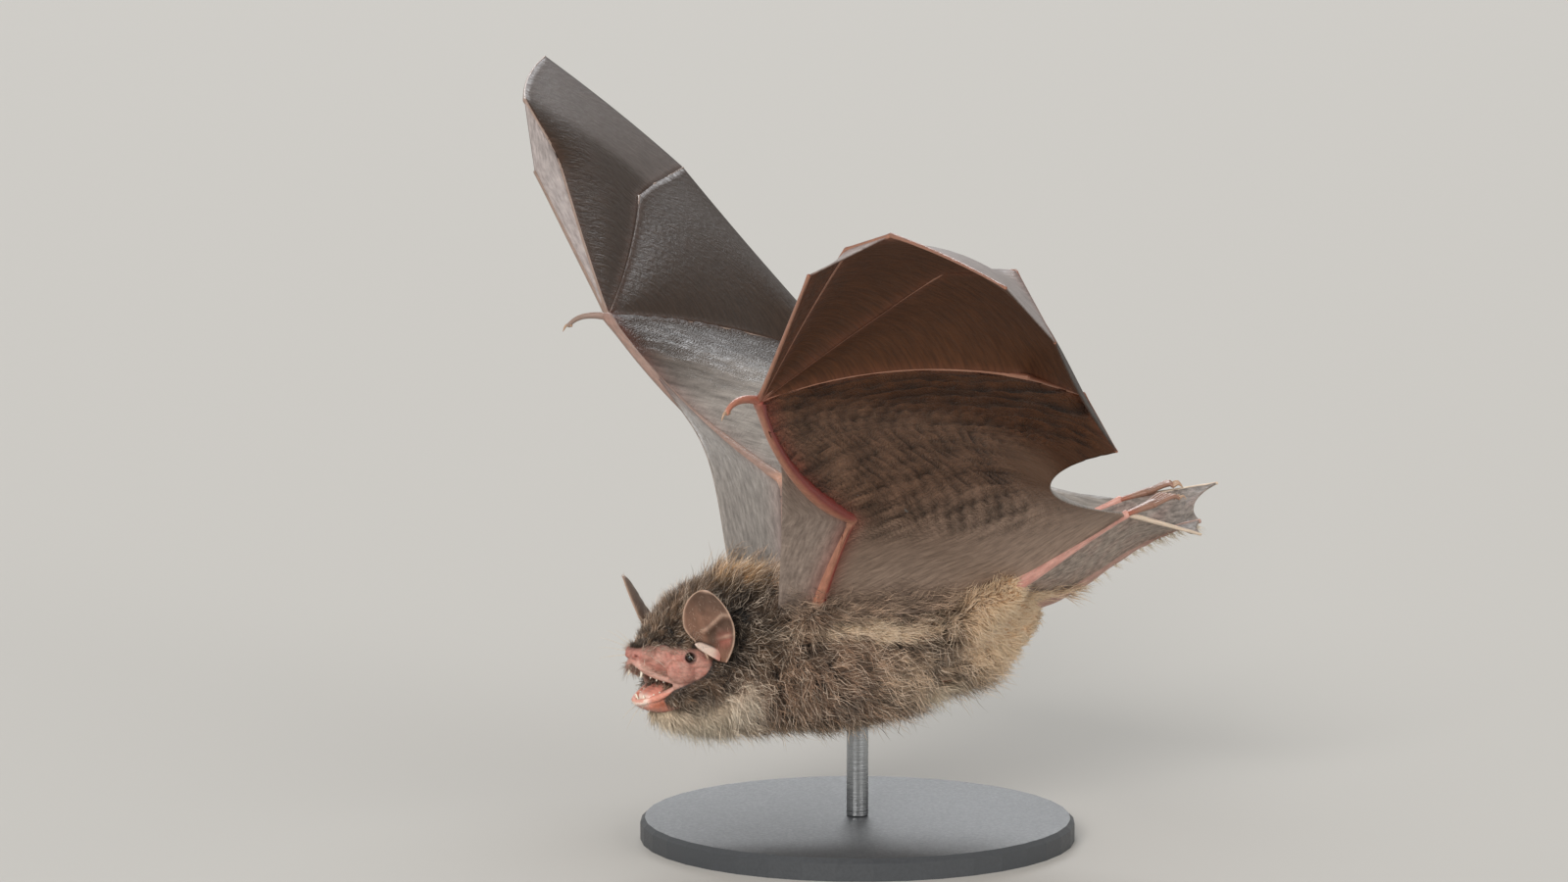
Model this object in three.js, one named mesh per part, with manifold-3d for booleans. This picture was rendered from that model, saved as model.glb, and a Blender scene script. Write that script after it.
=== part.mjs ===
// A bent-wing bat in flight, life size, on a small display stand.
// Millimetres, +Z up. The bat faces -X, its left wing is on the -Y side, and the origin is the
// centre of the stand's underside. The bat itself is laid out from the midpoint between its shoulders.

import * as THREE from 'three';
import { mergeVertices } from 'three/addons/utils/BufferGeometryUtils.js';
import Module from 'manifold-3d';

const wasm = await Module();
wasm.setup();

// ---- driving dimensions ----

const gap = 0.3;                 // clearance between neighbouring pieces
const shoulderHeight = 30.5;     // shoulder line above the floor
const standOffset = 8;           // the stand's centre lies this far behind the shoulders
const shoulderSpan = 13;

const bone = {
  humerus: 26, forearm: 45.5, thumb: 6.5,
  metacarpal2: 37,
  metacarpal3: 41, phalanx3a: 10.8, phalanx3b: 33,
  metacarpal4: 40, phalanx4a: 9.3, phalanx4b: 15,
  metacarpal5: 37.5, phalanx5a: 8.8, phalanx5b: 9,
};

// The way each bone points, in degrees: sweep is towards the tail from straight out, raise is upward.
const wingPose = {
  left: {
    humerus: [3.8, 42.1], forearm: [-28.9, 25.1], thumb: [-49.2, -9.2],
    metacarpal2: [-1.6, 28.2],
    metacarpal3: [4.7, 30.1], phalanx3a: [15, 12], phalanx3b: [7.9, -6.2],
    metacarpal4: [25.1, 26.6], phalanx4a: [44.6, 1], phalanx4b: [4.4, -27.8],
    metacarpal5: [46.3, 7.2], phalanx5a: [113.9, -16.5], phalanx5b: [116.3, -53.3],
  },
  right: {
    humerus: [8, 38.3], forearm: [-27.9, 27.4], thumb: [-57.6, -13.4],
    metacarpal2: [-11.4, 33.2],
    metacarpal3: [-3.1, 33], phalanx3a: [-45.3, 54], phalanx3b: [14.6, 10.8],
    metacarpal4: [17.4, 23.5], phalanx4a: [25.9, 9.4], phalanx4b: [28.9, 7.5],
    metacarpal5: [61.5, -10.3], phalanx5a: [125, -8], phalanx5b: [118, -45],
  },
};

// How far the long bones bow at mid length, towards the tail and upward.
const bow = {
  left: {
    humerus: [-0.4, -0.2], forearm: [-1.8, -1.4],
    metacarpal3: [0, 0.6], metacarpal4: [0, 0.4], metacarpal5: [0, 2.3], phalanx3b: [0, 0.4],
  },
  right: {
    humerus: [-0.3, -0.2], forearm: [-0.8, -1.8],
    metacarpal3: [-0.3, 0.4], metacarpal4: [0.8, 0], metacarpal5: [0, 1.1], phalanx3b: [-1, 0.2],
  },
};

// Radius at the near and far end of each bone with its skin and muscle.
const girth = {
  humerus: [1.5, 1.0], forearm: [1.2, 0.7], thumb: [0.75, 0.3],
  metacarpal2: [0.42, 0.3],
  metacarpal3: [0.6, 0.5], phalanx3a: [0.5, 0.45], phalanx3b: [0.42, 0.28],
  metacarpal4: [0.55, 0.45], phalanx4a: [0.42, 0.4], phalanx4b: [0.38, 0.28],
  metacarpal5: [0.55, 0.45], phalanx5a: [0.42, 0.38], phalanx5b: [0.36, 0.28],
  thigh: [3.3, 1.9], shin: [1.15, 0.7], calcar: [0.5, 0.32],
};
const elbowRadius = 1.2;
const wristRadius = 1.15;
const membraneThickness = 0.55;

// Joints of the hind limbs and the tail, from the midpoint between the shoulders.
const hip = [17, 4.5, -3.2];
const legPose = {
  left: { knee: [27, 12, 5.6], ankle: [42.2, 14, 15.3], toes: [50.6, 10, 17.4], calcarTip: [54.6, 8, 11.4] },
  right: { knee: [30, 11, 6], ankle: [47.4, 6.7, 14.6], toes: [55.6, 4.6, 17.2], calcarTip: [60.4, 3, 17.1] },
};
const tailPath = [[30, -0.5, 0.4], [38, -1, 3.6], [46, -1.8, 8.7], [51.3, -2.5, 11.2], [56, -3, 12.6]];
const tailRadius = [1.3, 0.4];

// Where the wing membranes leave the body: the front root, then along the flank to the rump.
const foreRoot = { left: [-4.9, 8, 3], right: [-8.4, 7.4, 5.8] };
const foreEdge = { left: [[-7.8, 24, 16], [-12, 43, 27.5]], right: [[-8.2, 24, 19.6], [-9.4, 46, 26.5]] };
const flankLine = [[1.5, 8.6, 1.2], [9, 9.4, 1.6], [18, 8.8, 2.4], [27, 8, 4]];
const wristNotch = { left: [[17, 60, 27.5], [20, 38, 20]], right: [[16, 52, 22], [22, 32, 16]] };

// Coat outline of the trunk and neck: distance behind the shoulders, centre height, half width, half height,
// and how far the neck swings to the right.
const trunkStations = [
  [-17.5, -4.8, 5, 8.4, 0.4], [-13.5, -4, 7.6, 11.5, 0.8], [-8, -3.8, 9.4, 11.9, 0.5], [-2, -3.9, 10.4, 11.9, 0],
  [5, -4.1, 10.6, 11.7, 0], [12, -3.7, 10.3, 10.8, 0], [19, -2.9, 9.4, 9.3, 0], [25, -2, 8.3, 8, 0],
  [30, -0.6, 6.6, 6.1, 0], [33.5, 0.6, 3.6, 3.4, 0],
];
const neckCut = -7.2;             // the neck ends and the trunk begins here
const headCut = 14.4;             // the head ends this far behind the nose

// The head lies in a frame of its own: origin at the nose tip, +X back through the head, +Z its crown.
const head = { nose: [-24.9, -5.6, -2.85], yaw: 26, pitch: 13 };
// Coat outline of the head: distance behind the nose, half width, crown above, jaw line below.
const headStations = [
  [0, 1.2, 0.7, -0.9], [0.9, 1.9, 2.2, -1.3], [2.4, 2.8, 5.6, -2.2], [4.4, 3.9, 9, -3.0],
  [6.4, 4.9, 11.2, -4.2], [9, 6.1, 12.8, -8.4], [12, 6.8, 13.6, -9.9], [15, 6.8, 13.6, -10],
  [18, 6, 12.2, -8], [20, 3, 8, -3],
];
const jaw = { hinge: [9, 0, -3.8], length: 6.8, tipWidth: 1.9, rearWidth: 3.3, tipDepth: 1.6, rearDepth: 7, gape: 21 };
const tongue = { length: 4.2, width: 1.2, height: 0.5 };
const eye = { radius: 0.75, place: [6.9, 4.4, 0.8] };
// The ears turn their openings forward by the given angle; the tip leans forward and flares outward.
const ear = { root: [9.6, 6, 1.4], facing: 38, height: 9.8, width: 6.5, cup: 1.5, thick: 0.6, lean: 5, flare: 2.4 };
const tragus = { length: 4.2, width: 1.3, thick: 0.55 };
const canine = { place: [1.9, 1.3, -1.2], length: 1.1, radius: 0.32 };
const cheekTeeth = { from: [3, 2.0, -2.2], to: [4.8, 2.5, -2.9], count: 2, length: 0.7, radius: 0.3 };

const stand = { baseRadius: 30, baseHeight: 3, edge: 0.6, rodRadius: 1.5, rodInto: 4 };

// ---- small helpers ----

const vec = (p) => new THREE.Vector3(p[0], p[1], p[2]);
const radians = THREE.MathUtils.degToRad;
const mix = THREE.MathUtils.lerp;

// Turn a closed three.js geometry into a solid for joining and cutting.
function solidOf(geometry) {
  const bare = geometry.clone();
  for (const name of Object.keys(bare.attributes)) if (name !== 'position') bare.deleteAttribute(name);
  const merged = mergeVertices(bare, 1e-4);
  const at = merged.attributes.position;
  const kept = [];
  for (let i = 0; i < merged.index.count; i += 3) {
    const t = [merged.index.getX(i), merged.index.getX(i + 1), merged.index.getX(i + 2)];
    if (t[0] !== t[1] && t[1] !== t[2] && t[2] !== t[0]) kept.push(...t);
  }
  const build = (tri) => new wasm.Manifold(new wasm.Mesh({
    numProp: 3, vertProperties: Float32Array.from(at.array), triVerts: Uint32Array.from(tri),
  }));
  const first = build(kept);
  if (first.volume() > 0) return first;
  const turned = [];
  for (let i = 0; i < kept.length; i += 3) turned.push(kept[i], kept[i + 2], kept[i + 1]);
  return build(turned);
}

// Move every vertex of a closed geometry by a function of its place.
function reshape(geometry, rule) {
  for (const name of Object.keys(geometry.attributes)) if (name !== 'position') geometry.deleteAttribute(name);
  const merged = mergeVertices(geometry, 1e-4);
  const at = merged.attributes.position;
  const p = new THREE.Vector3();
  for (let i = 0; i < at.count; i += 1) {
    p.fromBufferAttribute(at, i);
    const q = rule(p.x, p.y, p.z);
    at.setXYZ(i, q.x, q.y, q.z);
  }
  return solidOf(merged);
}

// A smooth row of values through a table's columns.
function smoothTable(rows) {
  const curves = rows[0].map((_, column) => rows.map((row) => row[column]));
  return (t) => {
    const s = THREE.MathUtils.clamp(t, 0, 1) * (rows.length - 1);
    const i = Math.min(Math.floor(s), rows.length - 2);
    const f = s - i;
    return curves.map((c) => {
      const [a, b, d, e] = [c[Math.max(i - 1, 0)], c[i], c[i + 1], c[Math.min(i + 2, c.length - 1)]];
      const [m0, m1] = [(d - a) / 2, (e - b) / 2];
      return (2 * f ** 3 - 3 * f ** 2 + 1) * b + (f ** 3 - 2 * f ** 2 + f) * m0
        + (3 * f ** 2 - 2 * f ** 3) * d + (f ** 3 - f ** 2) * m1;
    });
  };
}

// A tapered round limb along a curve, with rounded ends. A grown limb is only ever cut away from its
// neighbours, so it is a plain square bar that holds the round one with the wanted clearance.
function limb(curve, radii, sides, steps, grow = 0) {
  const geometry = new THREE.SphereGeometry(1, grow ? 4 : sides, steps + 2, grow ? Math.PI / 4 : 0);
  const ends = radii.map((r) => (grow ? (r + grow) * 1.36 : r));
  return reshape(geometry, (x, y, z) => {
    const ring = Math.round((Math.acos(THREE.MathUtils.clamp(y, -1, 1)) / Math.PI) * (steps + 2));
    const across = Math.hypot(x, z);
    const inner = THREE.MathUtils.clamp((ring - 1) / steps, 0, 1);
    const cap = ring === 0 ? -0.6 * ends[0] : ring === steps + 2 ? 0.6 * ends[1] : 0;
    const tangent = curve.getTangent(inner);
    const side = new THREE.Vector3(0, 0, 1).cross(tangent).normalize();
    if (side.lengthSq() < 0.5) side.set(0, 1, 0);
    const top = tangent.clone().cross(side);
    const r = across < 1e-6 ? 0 : mix(ends[0], ends[1], inner);
    const at = curve.getPoint(inner).addScaledVector(tangent, cap + (grow > 0 && cap ? Math.sign(cap) * grow : 0));
    if (r > 0) at.addScaledVector(side, (x / across) * r).addScaledVector(top, (z / across) * r);
    return at;
  });
}

function ball(centre, radius, grow = 0, sides = 10, rings = 6) {
  return reshape(new THREE.SphereGeometry(radius + grow, sides, rings), (x, y, z) => vec(centre).add(new THREE.Vector3(x, y, z)));
}

// A thin sheet between two edge curves: u runs across from one to the other, v along both.
// belly lifts its middle, and hem moves the middle of its outer end towards the tail.
function sheet(edgeA, edgeB, across, along, belly, hem, grow = 0, thickness = membraneThickness) {
  const surface = (u, v) => {
    const arch = 4 * u * (1 - u);
    return edgeA(v).lerp(edgeB(v), u).add(new THREE.Vector3(hem * arch * v ** 4, 0, belly * arch * Math.sin(Math.PI * v)));
  };
  const h = 1e-3;
  const normal = (u, v) => {
    const clip = (w) => THREE.MathUtils.clamp(w, 0.02, 0.98);
    const [cu, cv] = [clip(u), clip(v)];
    const du = surface(cu + h, cv).sub(surface(cu - h, cv));
    const dv = surface(cu, cv + h).sub(surface(cu, cv - h));
    return du.cross(dv).normalize();
  };
  return reshape(new THREE.BoxGeometry(1, 1, 1, across, along, 1), (x, y, z) => (
    surface(x + 0.5, y + 0.5).addScaledVector(normal(x + 0.5, y + 0.5), z * (thickness + 2 * grow))
  ));
}

// A polyline or curve as a function of 0..1, with named shares of the way for its corners.
function path(points, shares) {
  const places = shares ?? points.map((_, i) => i / (points.length - 1));
  return (t) => {
    let i = 0;
    while (i < places.length - 2 && t > places[i + 1]) i += 1;
    const f = THREE.MathUtils.clamp((t - places[i]) / (places[i + 1] - places[i]), 0, 1);
    return points[i].clone().lerp(points[i + 1], f);
  };
}

// A row of curves end to end, each over its own share of the way.
function chain(curves, shares) {
  return (t) => {
    let i = 0;
    while (i < curves.length - 1 && t > shares[i + 1]) i += 1;
    const f = THREE.MathUtils.clamp((t - shares[i]) / (shares[i + 1] - shares[i]), 0, 1);
    return curves[i].getPoint(f);
  };
}

const union = (list) => list.reduce((a, b) => a.add(b));
const without = (piece, others) => others.reduce((a, b) => a.subtract(b), piece);

// Keep the largest body of a cut piece.
function largest(piece) {
  const bodies = piece.decompose();
  return bodies.reduce((a, b) => (b.volume() > a.volume() ? b : a));
}

// A rounded closed loft: the section at t is a superellipse about a centre.
function loft(sectionAt, sides, steps, squareness, grow = 0) {
  return reshape(new THREE.SphereGeometry(1, sides, steps), (x, y, z) => {
    const t = Math.acos(THREE.MathUtils.clamp(y, -1, 1)) / Math.PI;
    const across = Math.hypot(x, z);
    const s = sectionAt(t);
    const endShift = across < 1e-6 ? (t < 0.5 ? -grow : grow) : 0;
    if (across < 1e-6) return new THREE.Vector3(s.x + endShift, s.y, s.z);
    const [c, d] = [x / across, z / across];
    const k = (Math.abs(c) ** squareness + Math.abs(d) ** squareness) ** (-1 / squareness);
    const height = d > 0 ? s.up : s.down;
    return new THREE.Vector3(s.x, s.y + c * k * (s.half + grow), s.z + d * k * (height + grow));
  });
}

// ---- skeleton of the wings ----

function heading([sweep, raise], side) {
  const [a, b] = [radians(sweep), radians(raise)];
  return new THREE.Vector3(Math.cos(b) * Math.sin(a), side * Math.cos(b) * Math.cos(a), Math.sin(b));
}

function wingSkeleton(name) {
  const side = name === 'left' ? -1 : 1;
  const pose = wingPose[name];
  const grow = (from, key) => from.clone().addScaledVector(heading(pose[key], side), bone[key]);
  const shoulder = new THREE.Vector3(0, side * shoulderSpan / 2, 0);
  const elbow = grow(shoulder, 'humerus');
  const wrist = grow(elbow, 'forearm');
  const joints = { shoulder, elbow, wrist, thumbTip: grow(wrist, 'thumb') };
  joints.tip2 = grow(wrist, 'metacarpal2');
  joints.knuckle3 = grow(wrist, 'metacarpal3');
  joints.mid3 = grow(joints.knuckle3, 'phalanx3a');
  joints.tip3 = grow(joints.mid3, 'phalanx3b');
  joints.knuckle4 = grow(wrist, 'metacarpal4');
  joints.mid4 = grow(joints.knuckle4, 'phalanx4a');
  joints.tip4 = grow(joints.mid4, 'phalanx4b');
  joints.knuckle5 = grow(wrist, 'metacarpal5');
  joints.mid5 = grow(joints.knuckle5, 'phalanx5a');
  joints.tip5 = grow(joints.mid5, 'phalanx5b');
  return { side, joints };
}

function bowed(a, b, [back, up] = [0, 0]) {
  const middle = a.clone().lerp(b, 0.5).add(new THREE.Vector3(2 * back, 0, 2 * up));
  return new THREE.QuadraticBezierCurve3(a, middle, b);
}

// ---- one wing ----

// Straight bones need few rings, bowed ones more.
const bowSteps = (key) => ({ metacarpal5: 5, metacarpal3: 3, metacarpal4: 3, phalanx3b: 3 }[key] ?? 1);

function wing(name, body) {
  const { side, joints: j } = wingSkeleton(name);
  const mirror = (p) => new THREE.Vector3(p[0], side * p[1], p[2]);
  const b = bow[name];
  const curve = {
    humerus: bowed(j.shoulder, j.elbow, b.humerus), forearm: bowed(j.elbow, j.wrist, b.forearm),
    metacarpal2: bowed(j.wrist, j.tip2),
    metacarpal3: bowed(j.wrist, j.knuckle3, b.metacarpal3),
    phalanx3a: bowed(j.knuckle3, j.mid3), phalanx3b: bowed(j.mid3, j.tip3, b.phalanx3b),
    metacarpal4: bowed(j.wrist, j.knuckle4, b.metacarpal4),
    phalanx4a: bowed(j.knuckle4, j.mid4), phalanx4b: bowed(j.mid4, j.tip4),
    metacarpal5: bowed(j.wrist, j.knuckle5, b.metacarpal5),
    phalanx5a: bowed(j.knuckle5, j.mid5), phalanx5b: bowed(j.mid5, j.tip5),
    thumb: new THREE.QuadraticBezierCurve3(
      j.wrist, j.wrist.clone().lerp(j.thumbTip, 0.6).add(new THREE.Vector3(-0.6, 0, 1.6)), j.thumbTip),
  };
  const tube = (key, sides, steps, grow) => limb(curve[key], girth[key], sides, steps, grow);
  const digit = (keys, grow) => union(keys.map((key) => tube(key, 6, bowSteps(key), grow)));
  const fingers = {
    digit_2: ['metacarpal2'],
    digit_3: ['metacarpal3', 'phalanx3a', 'phalanx3b'],
    digit_4: ['metacarpal4', 'phalanx4a', 'phalanx4b'],
    digit_5: ['metacarpal5', 'phalanx5a', 'phalanx5b'],
  };
  const elbow = (grow) => ball(j.elbow.toArray(), elbowRadius, grow, 8, 5);
  const wrist = (grow) => ball(j.wrist.toArray(), wristRadius, grow, 8, 5);
  const arm = {
    upper_arm: (grow) => tube('humerus', 8, 3, grow).add(elbow(grow)),
    forearm: (grow) => tube('forearm', 8, 5, grow).add(wrist(grow)),
    thumb: (grow) => tube('thumb', 6, 3, grow),
  };
  const solids = {};
  const grown = {};
  const order = [['upper_arm', arm.upper_arm], ['forearm', arm.forearm], ['thumb', arm.thumb],
    ...['digit_3', 'digit_5', 'digit_4', 'digit_2'].map((key) => [key, (grow) => digit(fingers[key], grow)])];
  const done = [body.grown];
  for (const [key, make] of order) {
    solids[key] = without(make(0), done);
    grown[key] = make(gap);
    done.push(grown[key]);
  }

  // Edge curves of the membranes.
  const root = mirror(foreRoot[name]);
  const leadFore = new THREE.CatmullRomCurve3([root, ...foreEdge[name].map(mirror), j.wrist]);
  const armLine = chain([curve.humerus, curve.forearm], [0, 0.4, 1]);
  const flank = flankLine.map(mirror);
  const leg = legPose[name];
  const [knee, ankle] = [mirror(leg.knee), mirror(leg.ankle)];
  const [near, far] = wristNotch[name].map(mirror);
  const hind = chain([
    new THREE.CatmullRomCurve3([...flank, knee]), new THREE.LineCurve3(knee, ankle),
    new THREE.CubicBezierCurve3(ankle, far, near, j.tip5),
  ], [0, 0.34, 0.52, 1]);
  const frontOfArm = chain([curve.humerus, curve.forearm, curve.metacarpal5, curve.phalanx5a, curve.phalanx5b],
    [0, 0.24, 0.6, 0.84, 0.92, 1]);
  const lineOf = (keys, shares) => chain(keys.map((key) => curve[key]), shares);
  const third = lineOf(fingers.digit_3, [0, 0.5, 0.64, 1]);
  const fourth = lineOf(fingers.digit_4, [0, 0.52, 0.7, 1]);
  const fifth = lineOf(fingers.digit_5, [0, 0.64, 0.82, 1]);
  const second = chain([curve.metacarpal2, new THREE.LineCurve3(j.tip2, j.mid3)], [0, 0.76, 1]);
  const thirdStart = lineOf(['metacarpal3', 'phalanx3a'], [0, 0.8, 1]);
  const membranes = {
    propatagium: (grow) => sheet(leadFore.getPoint.bind(leadFore), (t) => armLine(t), 2, 8, 0.4, 0, grow),
    plagiopatagium: (grow) => sheet(frontOfArm, hind, 4, 12, 1.6, 0, grow),
    membrane_2_3: (grow) => sheet(second, thirdStart, 1, 6, 0, 0, grow),
    membrane_3_4: (grow) => sheet(third, fourth, 3, 7, 1.2, name === 'right' ? 0.6 : 0, grow),
    membrane_4_5: (grow) => sheet(fourth, fifth, 3, 7, 1.6, -0.6, grow),
  };
  const cutters = [...done, ...body.legs[name]];
  for (const [key, make] of Object.entries(membranes)) {
    solids[key] = without(make(0), cutters);
    cutters.push(make(gap));
  }
  return solids;
}

// ---- trunk, neck, legs and tail ----

const trunkTable = smoothTable(trunkStations);
function bodyLoft(grow) {
  return loft((t) => {
    const [x, z, half, height, y] = trunkTable(t);
    const taper = Math.sqrt(Math.max(0, 1 - Math.abs(2 * t - 1) ** 14));
    return { x, y, z, half: half * taper, up: height * taper, down: height * taper };
  }, 16, 14, 2.1, grow);
}

// Everything in front of, or behind, a plane across the body.
const slabBefore = (x) => solidOf(new THREE.BoxGeometry(80, 80, 80).translate(x - 40, 0, 0));
const slabBehind = (x) => solidOf(new THREE.BoxGeometry(80, 80, 80).translate(x + 40, 0, 0));

const tailCurve = new THREE.CatmullRomCurve3(tailPath.map(vec));
const tailSolid = (grow) => limb(tailCurve, tailRadius, 6, 6, grow);

function hindLimb(name) {
  const side = name === 'left' ? -1 : 1;
  const mirror = (p) => new THREE.Vector3(p[0], side * p[1], p[2]);
  const pose = legPose[name];
  const [hipAt, knee, ankle, toes, calcarTip] = [hip, pose.knee, pose.ankle, pose.toes, pose.calcarTip].map(mirror);
  const line = (a, b) => new THREE.LineCurve3(a, b);
  const out = toes.clone().sub(ankle);
  const across = new THREE.Vector3(0, 0, 1).cross(out).normalize();
  const up = out.clone().normalize().cross(across);
  const sole = ankle.clone().addScaledVector(out, 0.5);
  const toe = (k, grow) => {
    const from = sole.clone().addScaledVector(across, k * 0.55);
    const to = toes.clone().addScaledVector(across, k * 0.85).addScaledVector(up, -0.6);
    const middle = from.clone().lerp(to, 0.6).addScaledVector(up, 0.9);
    return limb(new THREE.QuadraticBezierCurve3(from, middle, to), [0.42, 0.22], 4, 2, grow);
  };
  const foot = (grow) => (grow ? limb(line(ankle, toes), [0.9, 1.9], 8, 1, grow)
    : union([limb(line(ankle, sole), [0.85, 1.25], 8, 1), ...[-2, -1, 0, 1, 2].map((k) => toe(k, 0))]));
  return {
    thigh: (grow) => limb(line(hipAt, knee), girth.thigh, 10, 2, grow),
    shin: (grow) => limb(line(knee, ankle), girth.shin, 8, 2, grow),
    foot,
    calcar: (grow) => limb(line(ankle, calcarTip), girth.calcar, 6, 2, grow),
    knee, ankle, calcarTip, toes,
  };
}

// ---- head ----

const headTable = smoothTable(headStations);
function headLoft(grow) {
  return loft((t) => {
    const [x, half, crown, jawLine] = headTable(t);
    const taper = Math.sqrt(Math.max(0, 1 - Math.abs(2 * t - 1) ** 16));
    const mid = (crown + jawLine) / 2 + 0.12 * (jawLine - crown) / 2;
    return { x, y: 0, z: mid, half: half * taper, up: (crown - mid) * taper, down: (mid - jawLine) * taper };
  }, 16, 14, 2.15, grow);
}

// A short cone pointing down the given axis, its base sunk in the gum.
function tooth(place, length, radius, lean = [0, 0, -1]) {
  const axis = vec(lean).normalize();
  const turn = new THREE.Quaternion().setFromUnitVectors(new THREE.Vector3(0, 1, 0), axis);
  const cone = new THREE.ConeGeometry(radius, length + 0.8, 6, 1);
  cone.translate(0, (length + 0.8) / 2 - 0.8, 0).applyQuaternion(turn).translate(...place);
  return solidOf(cone);
}

function upperTeeth() {
  const list = [];
  for (const side of [-1, 1]) {
    const put = (p) => [p[0], side * p[1], p[2]];
    list.push(tooth(put(canine.place), canine.length, canine.radius, [0.1, 0, -1]));
    for (let i = 0; i < cheekTeeth.count; i += 1) {
      const f = i / (cheekTeeth.count - 1);
      const place = [0, 1, 2].map((k) => mix(cheekTeeth.from[k], cheekTeeth.to[k], f));
      list.push(tooth(put(place), cheekTeeth.length, cheekTeeth.radius));
    }
  }
  return list;
}

// The lower jaw: a wedge from its tip back to the throat, opened by the gape.
const jawFrame = new THREE.Matrix4().makeTranslation(...jaw.hinge)
  .multiply(new THREE.Matrix4().makeRotationY(radians(-jaw.gape)));
function inJaw(solid) {
  return solid.transform(jawFrame.toArray());
}
function jawSolid(grow) {
  return inJaw(loft((t) => {
    const round = Math.sqrt(Math.max(0, 1 - (1 - Math.min(1, t / 0.25)) ** 2));
    const taper = round * Math.sqrt(Math.max(0, 1 - Math.max(0, t - 0.8) ** 2 / 0.04));
    const down = mix(jaw.tipDepth, jaw.rearDepth, t ** 1.3);
    return { x: -jaw.length * (1 - t) + 0.6 * t, y: 0, z: -0.6 * round, half: mix(jaw.tipWidth, jaw.rearWidth, t) * taper,
      up: 0.6 * taper, down: (down - 0.6) * taper };
  }, 12, 10, 2.5, grow));
}
function tongueSolid(grow) {
  return inJaw(loft((t) => {
    const taper = Math.sqrt(Math.max(0, 1 - Math.abs(2 * t - 1) ** 3));
    return { x: -jaw.length * 0.84 + tongue.length * t, y: 0, z: 0.1 + 0.2 * t, half: tongue.width * taper,
      up: tongue.height * taper, down: tongue.height * taper };
  }, 10, 8, 2.2, grow));
}

// A cupped leaf of skin on the side of the head; u runs across it from front to back and v up it.
function earAxes(side) {
  const turn = radians(ear.facing);
  return {
    across: new THREE.Vector3(Math.cos(turn), side * Math.sin(turn), 0),
    open: new THREE.Vector3(-Math.sin(turn), side * Math.cos(turn), 0),
  };
}
function earSolid(side, grow) {
  const { across, open } = earAxes(side);
  const halfWidth = (v) => ear.width * (0.3 + 0.75 * v * (1.25 - v)) * Math.sqrt(Math.max(0.015, 1 - v ** 3.5));
  return reshape(new THREE.BoxGeometry(1, 1, 1, 6, 6, 1), (x, y, z) => {
    const [s, v] = [2 * x, y + 0.5];
    const cup = ear.cup * (s ** 2 - 1) * (1 - 0.5 * v);
    const facing = open.clone().addScaledVector(across, -1.3 * s * ear.cup * (1 - 0.5 * v) / (ear.width / 2)).normalize();
    return new THREE.Vector3(ear.root[0] - ear.lean * v, side * (ear.root[1] + ear.flare * v), ear.root[2] + ear.height * v - 1)
      .addScaledVector(across, halfWidth(v) * s).addScaledVector(open, cup + 0.4)
      .addScaledVector(facing, z * (ear.thick + 2 * grow));
  });
}
function tragusSolid(side, grow) {
  const { across, open } = earAxes(side);
  return reshape(new THREE.BoxGeometry(1, 1, 1, 2, 3, 1), (x, y, z) => {
    const v = y + 0.5;
    return vec([ear.root[0], side * ear.root[1], ear.root[2]])
      .addScaledVector(across, 1.4 - tragus.length * v * 0.8)
      .addScaledVector(open, -0.9 + 1.9 * v + z * (tragus.thick + 2 * grow))
      .add(new THREE.Vector3(0, 0, -0.4 + 1.9 * v + x * tragus.width * (1 - 0.5 * v ** 2)));
  });
}

const headMatrix = new THREE.Matrix4().compose(
  vec(head.nose),
  new THREE.Quaternion().setFromEuler(new THREE.Euler(0, radians(head.pitch), radians(head.yaw), 'ZYX')),
  new THREE.Vector3(1, 1, 1),
);
const place = (solid) => solid.transform(headMatrix.toArray());

// ---- assembly ----

const coarseness = 0.07;         // how far faces may be merged across, in millimetres

const colours = {
  coat: 0x5b4c40, face: 0x9c6f66, jaw: 0xc07a68, tongue: 0xd08a7c, eye: 0x120c0a, ear: 0x6d564c,
  limb: 0x9a4f45, membrane: 0x4a382f, tail: 0x5f5048, base: 0x2a2724, rod: 0x9a9c9e,
};

const coat = new THREE.Group();
coat.position.set(-standOffset, 0, shoulderHeight);
const root = new THREE.Group();
root.add(coat);

function addNode(group, name, solid, colour, roughness = 0.8, metalness = 0) {
  const mesh = largest(solid.simplify(name.startsWith('eye') ? 0.01 : coarseness)).getMesh();
  const geometry = new THREE.BufferGeometry();
  geometry.setAttribute('position', new THREE.BufferAttribute(Float32Array.from(mesh.vertProperties), 3));
  geometry.setIndex(new THREE.BufferAttribute(Uint32Array.from(mesh.triVerts), 1));
  geometry.computeVertexNormals();
  const node = new THREE.Mesh(geometry, new THREE.MeshStandardMaterial({ color: colour, roughness, metalness }));
  node.name = name;
  group.add(node);
}

const headWhole = (grow) => place(headLoft(grow));
const jawWhole = (grow) => place(jawSolid(grow));
const bodyGrown = bodyLoft(gap);
const headGrown = headWhole(gap);

const limbs = { left: hindLimb('left'), right: hindLimb('right') };
const legsGrown = (name) => ['thigh', 'shin', 'foot', 'calcar'].map((key) => limbs[name][key](gap));
const surroundings = {
  grown: bodyGrown.add(headGrown),
  legs: { left: legsGrown('left'), right: legsGrown('right') },
};

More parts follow.
